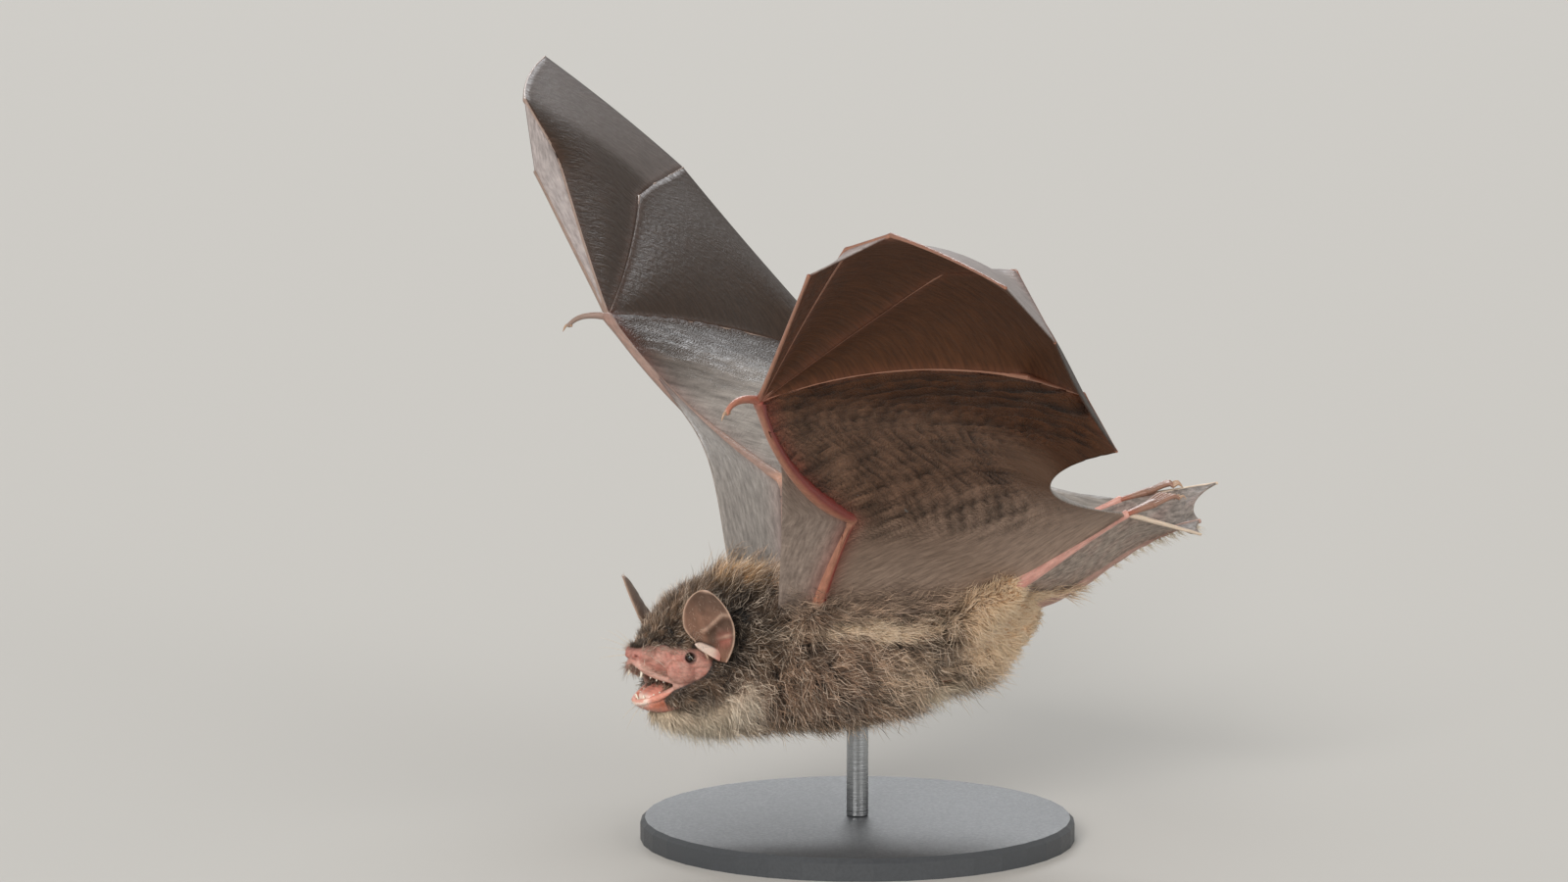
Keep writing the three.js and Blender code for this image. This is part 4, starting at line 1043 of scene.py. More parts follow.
# A cupped leaf: across it s from -1 (front) to 1, up it v from 0 to 1; the width swells and closes round
# the tip, and the middle is sunk by cup * (s^2 - 1).
def earLeaf(side):
    across, opening = earAxes(side)
    c = palette(earColour)
    v, s = np.meshgrid(np.linspace(0, 1, 46), np.linspace(-1, 1, 34), indexing="ij")
    width = ear["width"] * (0.3 + 0.75 * v * (1.25 - v)) * np.sqrt(np.maximum(0.012, 1 - v ** 3.2))
    width = width * np.where(s < 0, blend(.3, 1, smooth(.0, .42, v)), 1)   # the front edge has a narrow foot
    cup = ear["cup"] * (s ** 2 - 1) * (1 - 0.5 * v) * np.sqrt(np.maximum(0.01, 1 - v ** 5))
    arch = v - (.39 + .29 * smooth(-.4, .75, s))                           # above the roof of the lower bowl
    rimRoll = 0.16 * smooth(.88, 1, np.abs(s)) + 0.1 * smooth(.93, 1, v)
    x, y, z = ear["root"]
    spine = np.stack([x - ear["lean"] * v, side * (y + ear["flare"] * v), z + ear["height"] * v], -1)
    net = (spine + across * (width * s)[..., None]
           + opening * (cup + 0.4 + earFolds(v, s, arch) + rimRoll)[..., None])
    n = leafNormals(net)
    if (n.mean((0, 1)) @ opening) < 0:
        n = -n
    half = ear["half"] * (0.75 + 0.5 * (1 - v)) * (1 - 0.45 * smooth(.8, 1, np.abs(s)))
    edge = np.maximum(smooth(.92, .99, np.abs(s)), smooth(.965, .99, v)).ravel()
    bowl = smooth(.04, -.06, arch) * smooth(-.4, 0, s) * smooth(.12, .3, v) * 0.85
    root = bell(v, .27 + .1 * s, .12) * smooth(.05, .5, s) * smooth(1, .8, s) * 0.6
    lowRidge = bell(v - .3 - .14 * s, 0, .025) * bell(s, .62, .3)
    ridge = np.maximum(bell(arch, 0.02, .025) * smooth(-.5, -.2, s), lowRidge)
    inner = blend(c["inner"], c["upper"], smooth(.5, .95, v).ravel())
    for colour, share in (("bowl", bowl), ("root", root), ("rim", ridge * 0.6)):
        inner = blend(inner, c[colour], share.ravel())
    inner = inner * (0.93 + 0.14 * speckle(np.stack([s * 3, v * 4, s * 0], -1).reshape(-1, 3), .5))[:, None]
    inner = blend(inner, c["rim"], edge * 0.85)
    inner = inner * (ear["farShade"] if side > 0 else 1)           # the far ear is seen against the light
    outer = blend(np.broadcast_to(c["outer"], inner.shape), c["rim"], edge * 0.6)
    flow = np.stack([s * width, v * ear["height"], v * 0], -1)
    return outward(closeSheet(net, n, half, flow, 3, (inner, outer)))


def tragusLeaf(side):                   # a short blunt blade leaning up and forward inside the ear
    across, opening = earAxes(side)
    c = palette(earColour)
    v, x = np.meshgrid(np.linspace(0, 1, 22), np.linspace(-.5, .5, 12), indexing="ij")
    blunt = np.sqrt(np.maximum(0.03, 1 - np.clip((v - .72) / .28, 0, 1) ** 2))
    narrow = tragus["width"] * (1 - 0.35 * v ** 2) * blunt
    net = (np.array(ear["root"]) * [1, side, 1] + across * (0.9 - tragus["length"] * v)[..., None]
           + opening * (-0.5 + 2.4 * v + 0.5 * x ** 2)[..., None]
           + np.array([0, 0, 1]) * (0.8 + 1.1 * v + x * narrow)[..., None])
    tint = blend(c["tragus"], c["tragusEdge"], smooth(.25, .48, x).ravel())
    tint = blend(tint, c["root"], 0.7 * smooth(.4, .05, v).ravel())
    flow = np.stack([x, v * 4, v * 0], -1)
    return outward(closeSheet(net, leafNormals(net), np.full(v.shape, tragus["half"]), flow, 3, (tint, tint)))


earShapes = []
for side in sides.values():
    for leaf in (earLeaf(side), tragusLeaf(side)):
        leaf.points = fromHead(leaf.points)
        earShapes.append(leaf)

# Tail, shins, calcars, feet and tail membrane.
legColour = {"skin": "#c99084", "bone": "#e0b0a2", "web": "#8b827c", "webUnder": "#a39489", "calcar": "#dcc8b4",
             "ankle": "#a5604a", "foot": "#94705f"}
tailWeb = {"across": 22, "along": 60, "belly": -.4, "netRounds": 20, "wrinkle": .16,
           "hem": {"left": -.5, "right": -2}}
toeSpread = {"root": 0.42, "knuckle": 0.7, "tip": 0.85}
clawColour = "#b3937a"


def legBoneTint(shape):
    return blend(linear(legColour["skin"]), linear(legColour["bone"]), 0.5 + 0.5 * speckle(shape.points, 1.1))


def footParts(ankle, toes):             # the sole, five toes and their claws
    out = toes - ankle
    across = unit(np.cross([0, 0, 1], out))
    up = np.cross(unit(out), across)
    sole = ankle + out * 0.5

    def tint(shape):
        away = np.linalg.norm(shape.points - ankle, axis=1)
        return blend(linear(legColour["ankle"]), linear(legColour["foot"]), smooth(0, 2.5, away))
    instep = bowed(ankle, sole + out * .03)
    shapes = [tube(instep, lambda t: blend(.62, 1.0, smooth(0, 1, t)), 14, 14, .6, tint, 2)]
    claws = []
    for k in (-2, -1, 0, 1, 2):
        start = sole + across * k * toeSpread["root"] - out * 0.05
        knuckle = sole + across * k * toeSpread["knuckle"] + out * 0.28 + up * 0.35
        tip = toes + across * k * toeSpread["tip"] - out * 0.14 - up * 0.1
        toe = spline([start, knuckle, tip])
        shapes.append(tube(toe, lambda t: .33 - .08 * t + .05 * bell(t, .5, .1), 8, 12, 1, tint, 2))
        hook = spline([tip - out * .01, tip + unit(out) * .75 + up * .12, tip + unit(out) * 1.25 - up * .55])
        claws.append(tube(hook, lambda t: .2 * (1 - t) ** .7 + .02, 7, 9, 1.2))
    return shapes, claws


def tailHalf(name, shin, calcar, tail):     # half the tail membrane, from hind leg and calcar to the tail
    c = palette(legColour)
    size = boneSize((0, .5), (.55, .35), (.62, .3), (1, .2))
    net, n, half, flow = sheetBetween(
        chain([shin, calcar], [0, .6, 1]), tail, tailWeb["across"], tailWeb["along"], tailWeb["belly"],
        tailWeb["hem"][name], np.array([-.4, 0, 1.0]), size, lambda v: blend(1.0, .3, v), tailWeb["netRounds"])
    wrinkle = speckle(net.reshape(-1, 3), .8) * speckle(net.reshape(-1, 3) + 3, 2.1)
    net = net + n * (tailWeb["wrinkle"] * wrinkle.reshape(half.shape) * (half < .3))[..., None]
    pinkness = 0.12 * bell(speckle(net.reshape(-1, 3), 1.7), .5, .4)
    # painted shade in the hollows of the wrinkles and painted highlight on their crests
    paintedShade = 1 + .4 * wrinkle[:, None].clip(-1, 1)
    tints = [blend(c[key], c["skin"], pinkness) * paintedShade for key in ("web", "webUnder")]
    return closeSheet(net, n, half, flow, 5, tints)


def tailTint(shape):
    skin = blend(linear(legColour["webUnder"]), linear(legColour["skin"]), 0.45)
    return skin * np.ones((len(shape.points), 1))


def hindParts():
    tail = spline(tailPath)

    def tailSize(t):                    # tapering over seven joints
        return blend(1.2, .34, t) + 0.07 * np.sin(t * 2 * np.pi * 7) * (1 - .5 * t)
    shapes = [tube(tail, tailSize, 12, 70, 1, tailTint, 2)]
    claws, webs = [], {}
    for name, side in sides.items():
        m = np.array([1, side, 1])
        places = [np.array(legPose[name][key]) * m for key in ("knee", "ankle", "toes", "calcarTip")]
        knee, ankle, toes, tip = places
        shin, calcar = bowed(knee, ankle), bowed(ankle, tip)
        shapes.append(tube(shin, lambda t: blend(1.0, .5, smooth(0, .8, t)) + .12 * bell(t, 1, .06), 14, 30, 1,
                           legBoneTint, 2))
        shapes.append(tube(calcar, lambda t: blend(.42, .2, t), 10, 18, 1, painted(legColour["calcar"]), 2))
        foot, hooks = footParts(ankle, toes)
        webs[name] = tailHalf(name, shin, calcar, tail)
        shapes += [*foot, webs[name]]
        claws += hooks
    return shapes, claws, webs


hindShapes, clawShapes, tailWebs = hindParts()
for _, j, _ in wingParts.values():      # thumb claws
    out = unit(j["thumbTip"] - j["wrist"])
    tip = j["thumbTip"] - out * .5
    hook = spline([tip, tip + out * .9 + [0, 0, .05], tip + out * 1.35 + [-.1, 0, -.75]])
    clawShapes.append(tube(hook, lambda t: .26 * (1 - t) ** .7 + .02, 8, 10, 1.2))
print("ears, tail, legs and claws are laid out")

# Coat: three layers of hair, short dense undercoat, coat hair, and a few long loose hairs over it. Length and
# width in mm, lift from the skin at root and tip in degrees, clump the share drawn to the clump's tip.
coatLayers = {
    "under": {"rings": 1, "length": 2.5, "width": .2, "lift": (52, 36), "clump": .4, "curl": 0, "pale": .03,
              "tone": .7},
    "over": {"rings": 2, "length": 3.5, "width": .14, "lift": (54, 26), "clump": .8, "curl": .1, "pale": .14,
             "tone": 1.05},
    "long": {"rings": 3, "length": 4.6, "width": .1, "lift": (58, 28), "clump": .5, "curl": .24, "pale": .4,
             "tone": 1.25},
}
bodyHair = {"under": 15500, "over": 9200, "long": 2600, "length": 1.0, "width": 1.0, "lift": 0, "spacing": 1.35}
headHair = {**bodyHair, "length": .54, "width": .64, "lift": 10, "spacing": .8}
coatPlan = {"head_left": headHair, "head_right": headHair, "neck": bodyHair, "back": bodyHair,
            "flank_left": bodyHair, "flank_right": bodyHair, "rump": bodyHair}
coatRegions = {"neckEnd": -7.2, "rumpStart": 20, "flankAngle": 62}      # mm along the body, degrees from the spine
wingHair = {"hairs": 3400, "length": 3.0, "width": .085, "reach": 1.9, "lift": -14}
faceHair = {"hairs": 3400, "length": .55, "width": .055, "lift": -6, "root": "#a98478"}
earHair = {"hairs": 900, "length": .8, "width": .045, "lift": -20}
fringe = {"hairs": 380, "tufts": 17, "length": 2.0, "width": .08, "colour": "#fff1dc"}
tuftPatch = 0.003                       # side of one tuft's square in the OFBake map

# coat colours: hair root and hair tip, with patches by place, markings and painted shade (centre, reach in mm,
# both flanks alike)
coatColour = {"root": "#24160f", "tip": "#9d806a", "capRoot": "#33251c", "capTip": "#7d644f", "warm": "#96724f",
              "pale": "#efdcc8"}
markingAndShadePatches = [
    # the next two darken the neck between ear and shoulder: partly the coat's own dark, partly painted shade
    ((-9.0, 6, 0.6), (5.0, 6, 7.5), "#0c0806", "#3d2d20", 1.3),          # dark between ear and shoulder
    ((-5.5, 7.5, -3.4), (5.0, 4, 4.0), "#160f0a", "#5c4835", 0.7),       # dark shoulder side
    ((-7, 0, 7.8), (5, 8, 3.2), "#54402c", "#bb9569", 0.85),             # yellowish mantle
    ((-8.4, 5.2, -11.0), (2.5, 3.6, 2.6), "#ffe9cc", "#fff1dd", 1.3),    # cream patch below the neck
    ((-15, 0, -14.2), (8.5, 9, 3.4), "#f6dfbf", "#fff0d8", 1.2),         # buff throat
    ((28.5, 0, 3), (8.4, 20, 11), "#ffd3a2", "#ffe6c4", 1.5),            # tan rump
    ((10.5, 8.2, -0.6), (13, 4, 1.7), "#d8b993", "#ffe9cc", 1.0),        # tan band along the wing root
    ((16, 8, -8), (6, 6, 4.4), "#6a5442", "#e6ccae", 0.6),               # lighter rear flank
    ((6, 0, -15), (13, 6, 2.4), "#8a705a", "#e6caa8", 0.7),              # paler belly line
    ((21, 5.0, -11), (4, 4, 2.4), "#d8c3a2", "#fff2da", 1.0),            # pale groin tufts
    # painted shade in the crease before the thigh
    ((18.3, 8, -4.2), (2.4, 3, 2.2), "#120d09", "#453a30", 0.85),        # dark fold before the thigh
]


# Root and tip colour of the hair at places p (shoulder frame): head and body grounds, then each patch
# weighted by exp(-distance^3), distance measured in its own reaches on the nearer flank.
# The patches are markings, except the dark ones at the neck, partly painted shade, and the one in the fold before
# the thigh, painted shade.
def markingsAndShade(p):
    c = palette(coatColour)
    q = toHead(p)
    onHead = 1 - smooth(11, 15, q[:, 0])
    root = blend(c["root"], c["capRoot"], onHead)
    byEar = np.exp(-(((q - [9.5, 0, 6]) * [.28, .05, .3]) ** 2).sum(1))
    tip = blend(blend(c["tip"], c["capTip"], onHead), c["warm"], onHead * (0.5 * byEar))
    tip = tip * (1 - 0.25 * onHead * bell(q[:, 2] - furLine(q[:, 0]), .5, 1.2))[:, None]
    for centre, reach, rootColour, tipColour, strength in markingAndShadePatches:
        away = (mirrored(p) - np.array(centre)) / np.array(reach)
        w = np.minimum(1, strength * np.exp(-(away ** 2).sum(1) ** 1.5))
        root, tip = blend(root, linear(rootColour), w), blend(tip, linear(tipColour), w)
    drift = (0.5 + 0.5 * speckle(p, 2.4))[:, None]
    return root, tip * blend(.82, 1.14, drift)


def flattened(lie, n):                  # a heading laid down into the surface with normal n
    return unit(lie - n * np.einsum("ij,ij->i", lie, n)[:, None])


# The lie of the coat: away from the nose over the head, to the tail along the body, and down over the chest
# and flanks, with slow swirls.
def lieOf(p, n):
    q = toHead(p)
    headLie = unit(q - np.array([-2.5, 0, -1.5])) @ headTurn.T
    down = (0.8 - 0.5 * smooth(-14, 10, p[:, 0])) * smooth(4, -4, p[:, 2])
    bodyLie = np.c_[np.ones(len(p)), np.sign(p[:, 1]) * 0.12, -0.1 - down]
    lie = flattened(blend(headLie, bodyLie, smooth(9, 16, q[:, 0])), n)
    swirl = 0.6 * speckle(p, 3.1) + 0.6 * speckle(p + 5, 1.4)
    return unit(lie * np.cos(swirl)[:, None] + np.cross(n, lie) * np.sin(swirl)[:, None])


def faceAreas(shape):
    corners = shape.points[shape.quads]
    crossed = np.cross(corners[:, 2] - corners[:, 0], corners[:, 3] - corners[:, 1])
    return np.linalg.norm(crossed, axis=1) / 2, corners.mean(1)


# Even random roots on a shape: faces are walked in order with steps in proportion to area times thickness.
def scatter(shape, count, thickness):
    p, q = shape.points, shape.quads
    area, middle = faceAreas(shape)
    total = np.cumsum(area * thickness(middle))
    walk = (np.arange(count) + rng.random(count)) / count * total[-1]
    face = np.searchsorted(total, walk).clip(0, len(q) - 1)
    a, b = rng.random((count, 1)), rng.random((count, 1))
    share = np.stack([(1 - a) * (1 - b), a * (1 - b), a * b, (1 - a) * b], 1)
    return (p[q[face]] * share).sum(1), unit((normals(shape)[q[face]] * share).sum(1))


# Middles of the clumps that the layers of one patch share, with the turn, lift and tone of each.
def clumpsOn(source, thickness, spacing):
    area, middle = faceAreas(source)
    count = max(3, int((area * (thickness(middle) > 0)).sum() / spacing ** 2))
    middle, _ = scatter(source, count, thickness)
    return {"middle": middle, "spacing": spacing, "turn": rng.normal(0, .62, count),
            "lift": rng.normal(0, 9, count), "tone": rng.uniform(.4, 1.55, count)}


tuftRings = {       # where the rings of a tuft lie from root to tip, and how wide each is
    1: ([0, 1], [1]), 2: ([0, .45, 1], [.85, 1]), 3: ([0, .34, .68, 1], [.75, 1, .7])}


def tuftFaces(rings, points, count):    # faces of count equal tufts, worked out on the first one's points
    per = rings * 3 + 1
    quads = [[3 * k + i, 3 * k + (i + 1) % 3, 3 * k + 3 + (i + 1) % 3, 3 * k + 3 + i]
             for k in range(rings - 1) for i in range(3)]
    quads += [[3 * (rings - 1) + i, 3 * (rings - 1) + (i + 1) % 3, per - 1, per - 1] for i in range(3)]
    one = outward(Shape(points[0], np.array(quads + [[0, 2, 1, 1]])))
    return (one.quads[None] + (np.arange(count) * per)[:, None, None]).reshape(-1, 4)


# Tufts as joined tapering three-sided blades. The spine is root + 1.1 length * (d0 (s - s^2/2) + d1 s^2/2), from
# the lifted root heading d0 to the lying tip heading d1. A sideways curl s * sin(2 pi (0.8 s + phase)), less its
# value at the root, is added, and the tip is drawn towards its clump by s^1.6. A clump shares one stray turn, one
# lift and one tone; the tone is darker at the clump's edge, a painted shade between clumps, and pale hair is
# painted brighter, a painted light for the light that passes through it, which also weakens that painted shade.
def growTufts(layer, clumps, root, n, lie, length, width, extraLift, rootTint, tipTint, onHead=False):
    count, rings = len(root), layer["rings"]
    away = np.concatenate([((root[i:i + 1500, None] - clumps["middle"][None]) ** 2).sum(-1)
                           for i in range(0, count, 1500)])
    nearest = away.argmin(1)
    off = np.sqrt(away[np.arange(count), nearest]) / clumps["spacing"]
    lift = clumps["lift"][nearest]
    # painted shade darker towards the clump's edge, then pale hair painted brighter as painted light passing
    # through it
    tone = clumps["tone"][nearest] * blend(1.15, .55, smooth(.25, .8, off)) * rng.uniform(.8, 1.2, count)
    tone = blend(tone * layer["tone"], 1.9, 0.75 * smooth(.35, .75, tipTint.mean(1)))
    turn0 = np.radians(layer["lift"][0] + extraLift + .4 * lift + rng.normal(0, 7, count))[:, None]
    turn1 = np.radians(layer["lift"][1] + extraLift + lift + rng.normal(0, 10, count))[:, None]
    across = np.cross(n, lie)
    stray = (clumps["turn"][nearest] + rng.normal(0, 0.25, count))[:, None]
    d0 = unit(np.cos(turn0) * (lie + across * stray * .5) + np.sin(turn0) * n)
    d1 = unit(np.cos(turn1) * (lie + across * stray * 1.3) + np.sin(turn1) * n)
    s, profile = tuftRings[rings]
    phase = rng.random((count, 1))
    wave = length[:, None] * layer["curl"] * rng.uniform(.3, 1.6, (count, 1))

    def spine(k):
        bend = across * (np.sin(2 * np.pi * (k * .8 + phase)) - np.sin(2 * np.pi * phase)) * wave * k
        return root - n * 0.12 + length[:, None] * 1.1 * (d0 * (k - k * k / 2) + d1 * (k * k / 2)) + bend
    pull = (clumps["middle"][nearest] - root) * (layer["clump"] * rng.uniform(.4, 1.3, (count, 1)))
    along = [spine(k) + pull * k ** 1.6 for k in s]
    side = unit(across + 0.2 * rng.normal(0, 1, (count, 3)))
    ringPoints = []
    for k in range(rings):
        tangent = unit(along[k + 1] - along[max(k - 1, 0)])
        top = unit(np.cross(tangent, side))
        w = (width * profile[k] / 2)[:, None]
        ringPoints += [along[k] - side * w, along[k] + top * w * .8, along[k] + side * w]
    points = np.stack([*ringPoints, along[-1]], 1)
    t = np.append(np.repeat(s[:-1], 3), 1.0)
    depth = smooth(.0, .6, t)[None, :, None]
    tint = rootTint[:, None] * (1 - depth) + (tipTint * tone[:, None])[:, None] * depth
    tint = tint / np.maximum(1, tint.max(-1, keepdims=True) / .93)
    spot = np.array([[0, .5, 1] * rings + [.5], t]).T * tuftPatch - tuftPatch / 2
    place = unwrapOf(root, onHead)[:, None] + spot[None]
    tufts = Shape(points.reshape(-1, 3), tuftFaces(rings, points, count), tint.reshape(-1, 3))
    return tufts, place.reshape(-1, 2)


def alongTable(table, stations, x):     # the values of a station table at places x
    return table(np.interp(x, stations[:, 0], np.linspace(0, 1, len(stations)))).T


def trunkPlace(p):                      # half width and height of the trunk's outline, and p from its middle
    _, z, half, height, y = alongTable(trunkTable, trunkStations, p[:, 0])
    return half, height, p[:, 1] - y, p[:, 2] - z


# The unwrap of the skin's own shape: distance along the body against angle round its axis.
def unwrapOf(p, onHead):
    if onHead:
        q = toHead(p)
        flat = np.c_[q[:, 0], np.arctan2(q[:, 1], q[:, 2] - blend(-1, 2, smooth(0, 10, q[:, 0])))]
    else:
        _, _, y, z = trunkPlace(p)
        flat = np.c_[p[:, 0], np.arctan2(y, z)]
    low, high = flat.min(0), flat.max(0)
    return 0.01 + 0.98 * (flat - low) / (high - low)


def tintMaterial(name, **values):       # a plain material whose colour is the piece's own tint
    material, tree, surface = newMaterial(name, **values)
    tree.links.new(attribute(tree, "tint", "Color"), surface.inputs["Base Color"])
    return material


coatMaterial = tintMaterial("bat fur", roughness=0.6, gloss=0.3, sheen=0.15)    # dry hair, matt, faint sheen


def coatMesh(name, grown):
    shape, place = together([g[0] for g in grown]), np.concatenate([g[1] for g in grown])
    piece = newMesh(name, shape, [coatMaterial])
    layer = piece.data.uv_layers.new(name="OFBake")
    corner = np.empty(len(piece.data.loops), int)
    piece.data.loops.foreach_get("vertex_index", corner)
    layer.data.foreach_set("uv", place[corner].astype(np.float32).ravel())
    hand(piece, "coat")
    print(name, shape.triangles(), "triangles")


def insideTrunk(p):                     # 1 where a place lies in the trunk and neck skin
    half, height, y, z = trunkPlace(p)
    depth, k = bodySkin["coatDepth"], bodySkin["squareness"]
    return ((np.abs(y) / (half - depth)) ** k + (np.abs(z) / (height - depth)) ** k < 0.97) & (p[:, 0] > -17.4)


def insideHead(q):                      # 1 where a place of the head frame lies in the head skin
    _, half, crown, jawLine = alongTable(spline(headStations, 0.5), headStations, q[:, 0])
    k = headSkin["squareness"]
    middle, reach = (crown + jawLine) / 2, (crown - jawLine) / 2
    out = (np.abs(q[:, 1]) / half) ** k + (np.abs(q[:, 2] - middle) / reach) ** k
    return (out < 0.97) & (q[:, 0] > 0) & (q[:, 0] < 20.5)


# The bald groin: its place, how far the hair is thin and the skin bare each way in mm, and its skin colour.
groin = {"place": [19.5, 5, -8.2], "reach": [4.6, 4, 2.2], "skinReach": [4.4, 4, 2.1], "skin": "#c08d80"}


def coatThickness(p):                   # how thickly the coat grows at a place, 0 on bald skin
    q = toHead(p)
    thick = np.where(q[:, 0] < 13, 1 - smooth(.25, .6, bareFace(q)), 1.0)
    return thick * (1 - 0.97 * lump3(p, groin["place"], groin["reach"]))


def lengthOf(p, q, onHead):             # coat length against the region's usual length
    if onHead:
        edge = np.clip(np.abs(q[:, 2] - furLine(q[:, 0])) / 2.2, 0, 1)
        scale = 0.42 + 0.58 * smooth(0, 6, q[:, 0]) * blend(.75, 1, edge)
        scale = scale * (1 + 0.45 * smooth(-4, -7, q[:, 2]) + 0.35 * smooth(12, 17, q[:, 0]))
        earFront = np.linalg.norm((mirrored(q) - [9.2, 5.2, 3.0]) / [2.3, 2.2, 3.2], axis=1)
        return scale * blend(.35, 1, smooth(.6, 1.3, earFront))
    scale = 0.9 + 0.18 * speckle(p, 4)
    return scale * (1 - 0.35 * smooth(9, 13, np.abs(p[:, 1])) - 0.62 * smooth(24, 31, p[:, 0])
                    + 0.7 * lump3(p, [24, 5, -9], [3.5, 4, 2.2]))


def varied(size, low, high, count):     # one random size for each hair
    return size * rng.uniform(low, high, count)


def growLayer(source, kind, plan, clumps, thickness, onHead):
    layer, count = coatLayers[kind], plan[kind]
    p, n = scatter(source, count, thickness)
    lie = lieOf(p, n)
    # the colour at the hair's end, markings and painted shade alike
    root, tip = markingsAndShade(p + lie * (2.4 * plan["length"]) + n * 1.4)    # the marking shows where the hair ends
    light = rng.random(count) < layer["pale"]
    tip[light] = blend(tip[light], linear(coatColour["pale"]), .55)
    length = varied(plan["length"] * layer["length"] * lengthOf(p, toHead(p), onHead), .65, 1.25, count)
    width = varied(plan["width"] * layer["width"], .65, 1.3, count)
    rise = plan["lift"] + 24 * (rng.random(count) < .08)
    return growTufts(layer, clumps, p, n, lie, length, width, rise, root, tip, onHead)


def growCoat(name, plan):
    onHead = name.startswith("head")

    def thickness(p):
        if onHead:
            near = toHead(p)[:, 1] <= 0
            return (near == (name == "head_left")) * ~insideTrunk(p) * coatThickness(p)
        angle = np.degrees(np.arctan2(np.abs(p[:, 1]), p[:, 2] + 4))        # 0 at the spine, 180 at the belly
        neck, rump = p[:, 0] < coatRegions["neckEnd"], p[:, 0] >= coatRegions["rumpStart"]
        middle, low, left = ~neck & ~rump, angle >= coatRegions["flankAngle"], p[:, 1] <= 0
        region = {"neck": neck, "back": middle & ~low, "flank_left": middle & low & left,
                  "flank_right": middle & low & ~left, "rump": rump}[name]
        return region * ~insideHead(toHead(p)) * coatThickness(p)
    source = faceShape if onHead else torso
    clumps = clumpsOn(source, thickness, plan["spacing"])
    coatMesh("coat_" + name, [growLayer(source, kind, plan, clumps, thickness, onHead) for kind in coatLayers])


# Hair that runs out from the body on to both faces of the membranes, thinning with distance from the trunk.
def growWingHair():
    def outness(p):                     # 1 on the trunk's coat outline
        half, height, y, z = trunkPlace(p)
        ahead = np.maximum(0, p[:, 0] - 33) / 6
        return np.sqrt((y / half) ** 2 + (z / height) ** 2 + ahead ** 2)

    def thickness(p):
        f = outness(p)
        return (f > .9) * smooth(wingHair["reach"], .95, f) ** 3
    grown = []
    count = wingHair["hairs"]
    for name, side in sides.items():
        sheets = together([*wingParts[name][0][:2], tailWebs[name]])
        p, n = scatter(sheets, count, thickness)
        root, tip = markingsAndShade(p)
        tip = blend(tip, linear(coatColour["pale"]), .2) * rng.uniform(.75, 1.25, (count, 1))
        lie = flattened(np.tile([.9, side * .55, .35], (count, 1)), n)
        reach = wingHair["length"] * blend(1.2, .55, smooth(1, wingHair["reach"], outness(p)))
        length = varied(reach, .6, 1.3, count)
        clumps = clumpsOn(sheets, thickness, 1.6)
        width = varied(wingHair["width"], .7, 1.3, count)
        grown.append(growTufts(coatLayers["over"], clumps, p, n, lie, length, width, wingHair["lift"],
                               blend(root, tip, .3), tip))
    coatMesh("coat_wing_roots", grown)


downLayer = {**coatLayers["under"], "tone": 1}


def downTip(count):                     # down mixes pale and crown-coloured hairs
    return blend(linear(coatColour["pale"]), linear(coatColour["capTip"]), rng.random((count, 1)))


# Down on the bare face, shortest on the muzzle and longer at the lips and chin, like a thin moustache.
def growFaceHair():
    def thickness(p):
        q = toHead(p)
        b, y, z = q.T
        eye = np.linalg.norm(mirrored(q) - eyePlan["place"], axis=1)
        inMouth = (toJaw(q)[:, 2] > .1) & (z < -2.0 - .12 * b) & (b < 7)
        nose = np.linalg.norm(mirrored(q) - [.2, .7, -.2], axis=1)
        lips = np.where(y > 0, 1.8, .35) * bell(z, -2.1 - .12 * b, .8) * (b < 5)
        amount = .18 + lips + smooth(1.4, .2, furLine(b) - z)
        return bareFace(q) * (eye > 1.35) * (nose > 1.1) * ~inMouth * amount
    count = faceHair["hairs"]
    p, n = scatter(faceShape, count, thickness)
    b, y, z = toHead(p).T
    lips = bell(z, -2.2 - .1 * b, .9) * (b < 4.5) * np.where(y > 0, 1, .4)
    longer = 1 + 2.2 * lips + .8 * smooth(1.2, 0, furLine(b) - z)
    length = varied(faceHair["length"] * longer, .5, 1.5, count)
    tip = downTip(count)
    root = np.broadcast_to(linear(faceHair["root"]), tip.shape)
    clumps = clumpsOn(faceShape, thickness, .6)
    width = varied(faceHair["width"], .7, 1.3, count)
    lie = lieOf(p, n)
    down = growTufts(downLayer, clumps, p, n, lie, length, width, faceHair["lift"], root, tip, True)
    coatMesh("coat_face", [down])


# Sparse pale hairs on both faces of the ears, lying towards the tip.
def growEarHair():
    leaves = together([earShapes[0], earShapes[2]])
    count = earHair["hairs"]
    p, n = scatter(leaves, count, lambda p: 1 - .7 * smooth(4, 9, toHead(p)[:, 2]))
    lie = flattened(np.broadcast_to(np.array([-.35, 0, 1.0]), p.shape) @ headTurn.T, n)
    length = varied(earHair["length"], .5, 1.4, count)
    tip = downTip(count)
    clumps = clumpsOn(leaves, lambda p: np.ones(len(p)), 1)
    width = varied(earHair["width"], .7, 1.3, count)
    down = growTufts(downLayer, clumps, p, n, lie, length, width, earHair["lift"], tip * .6, tip, True)
    coatMesh("coat_ears", [down])


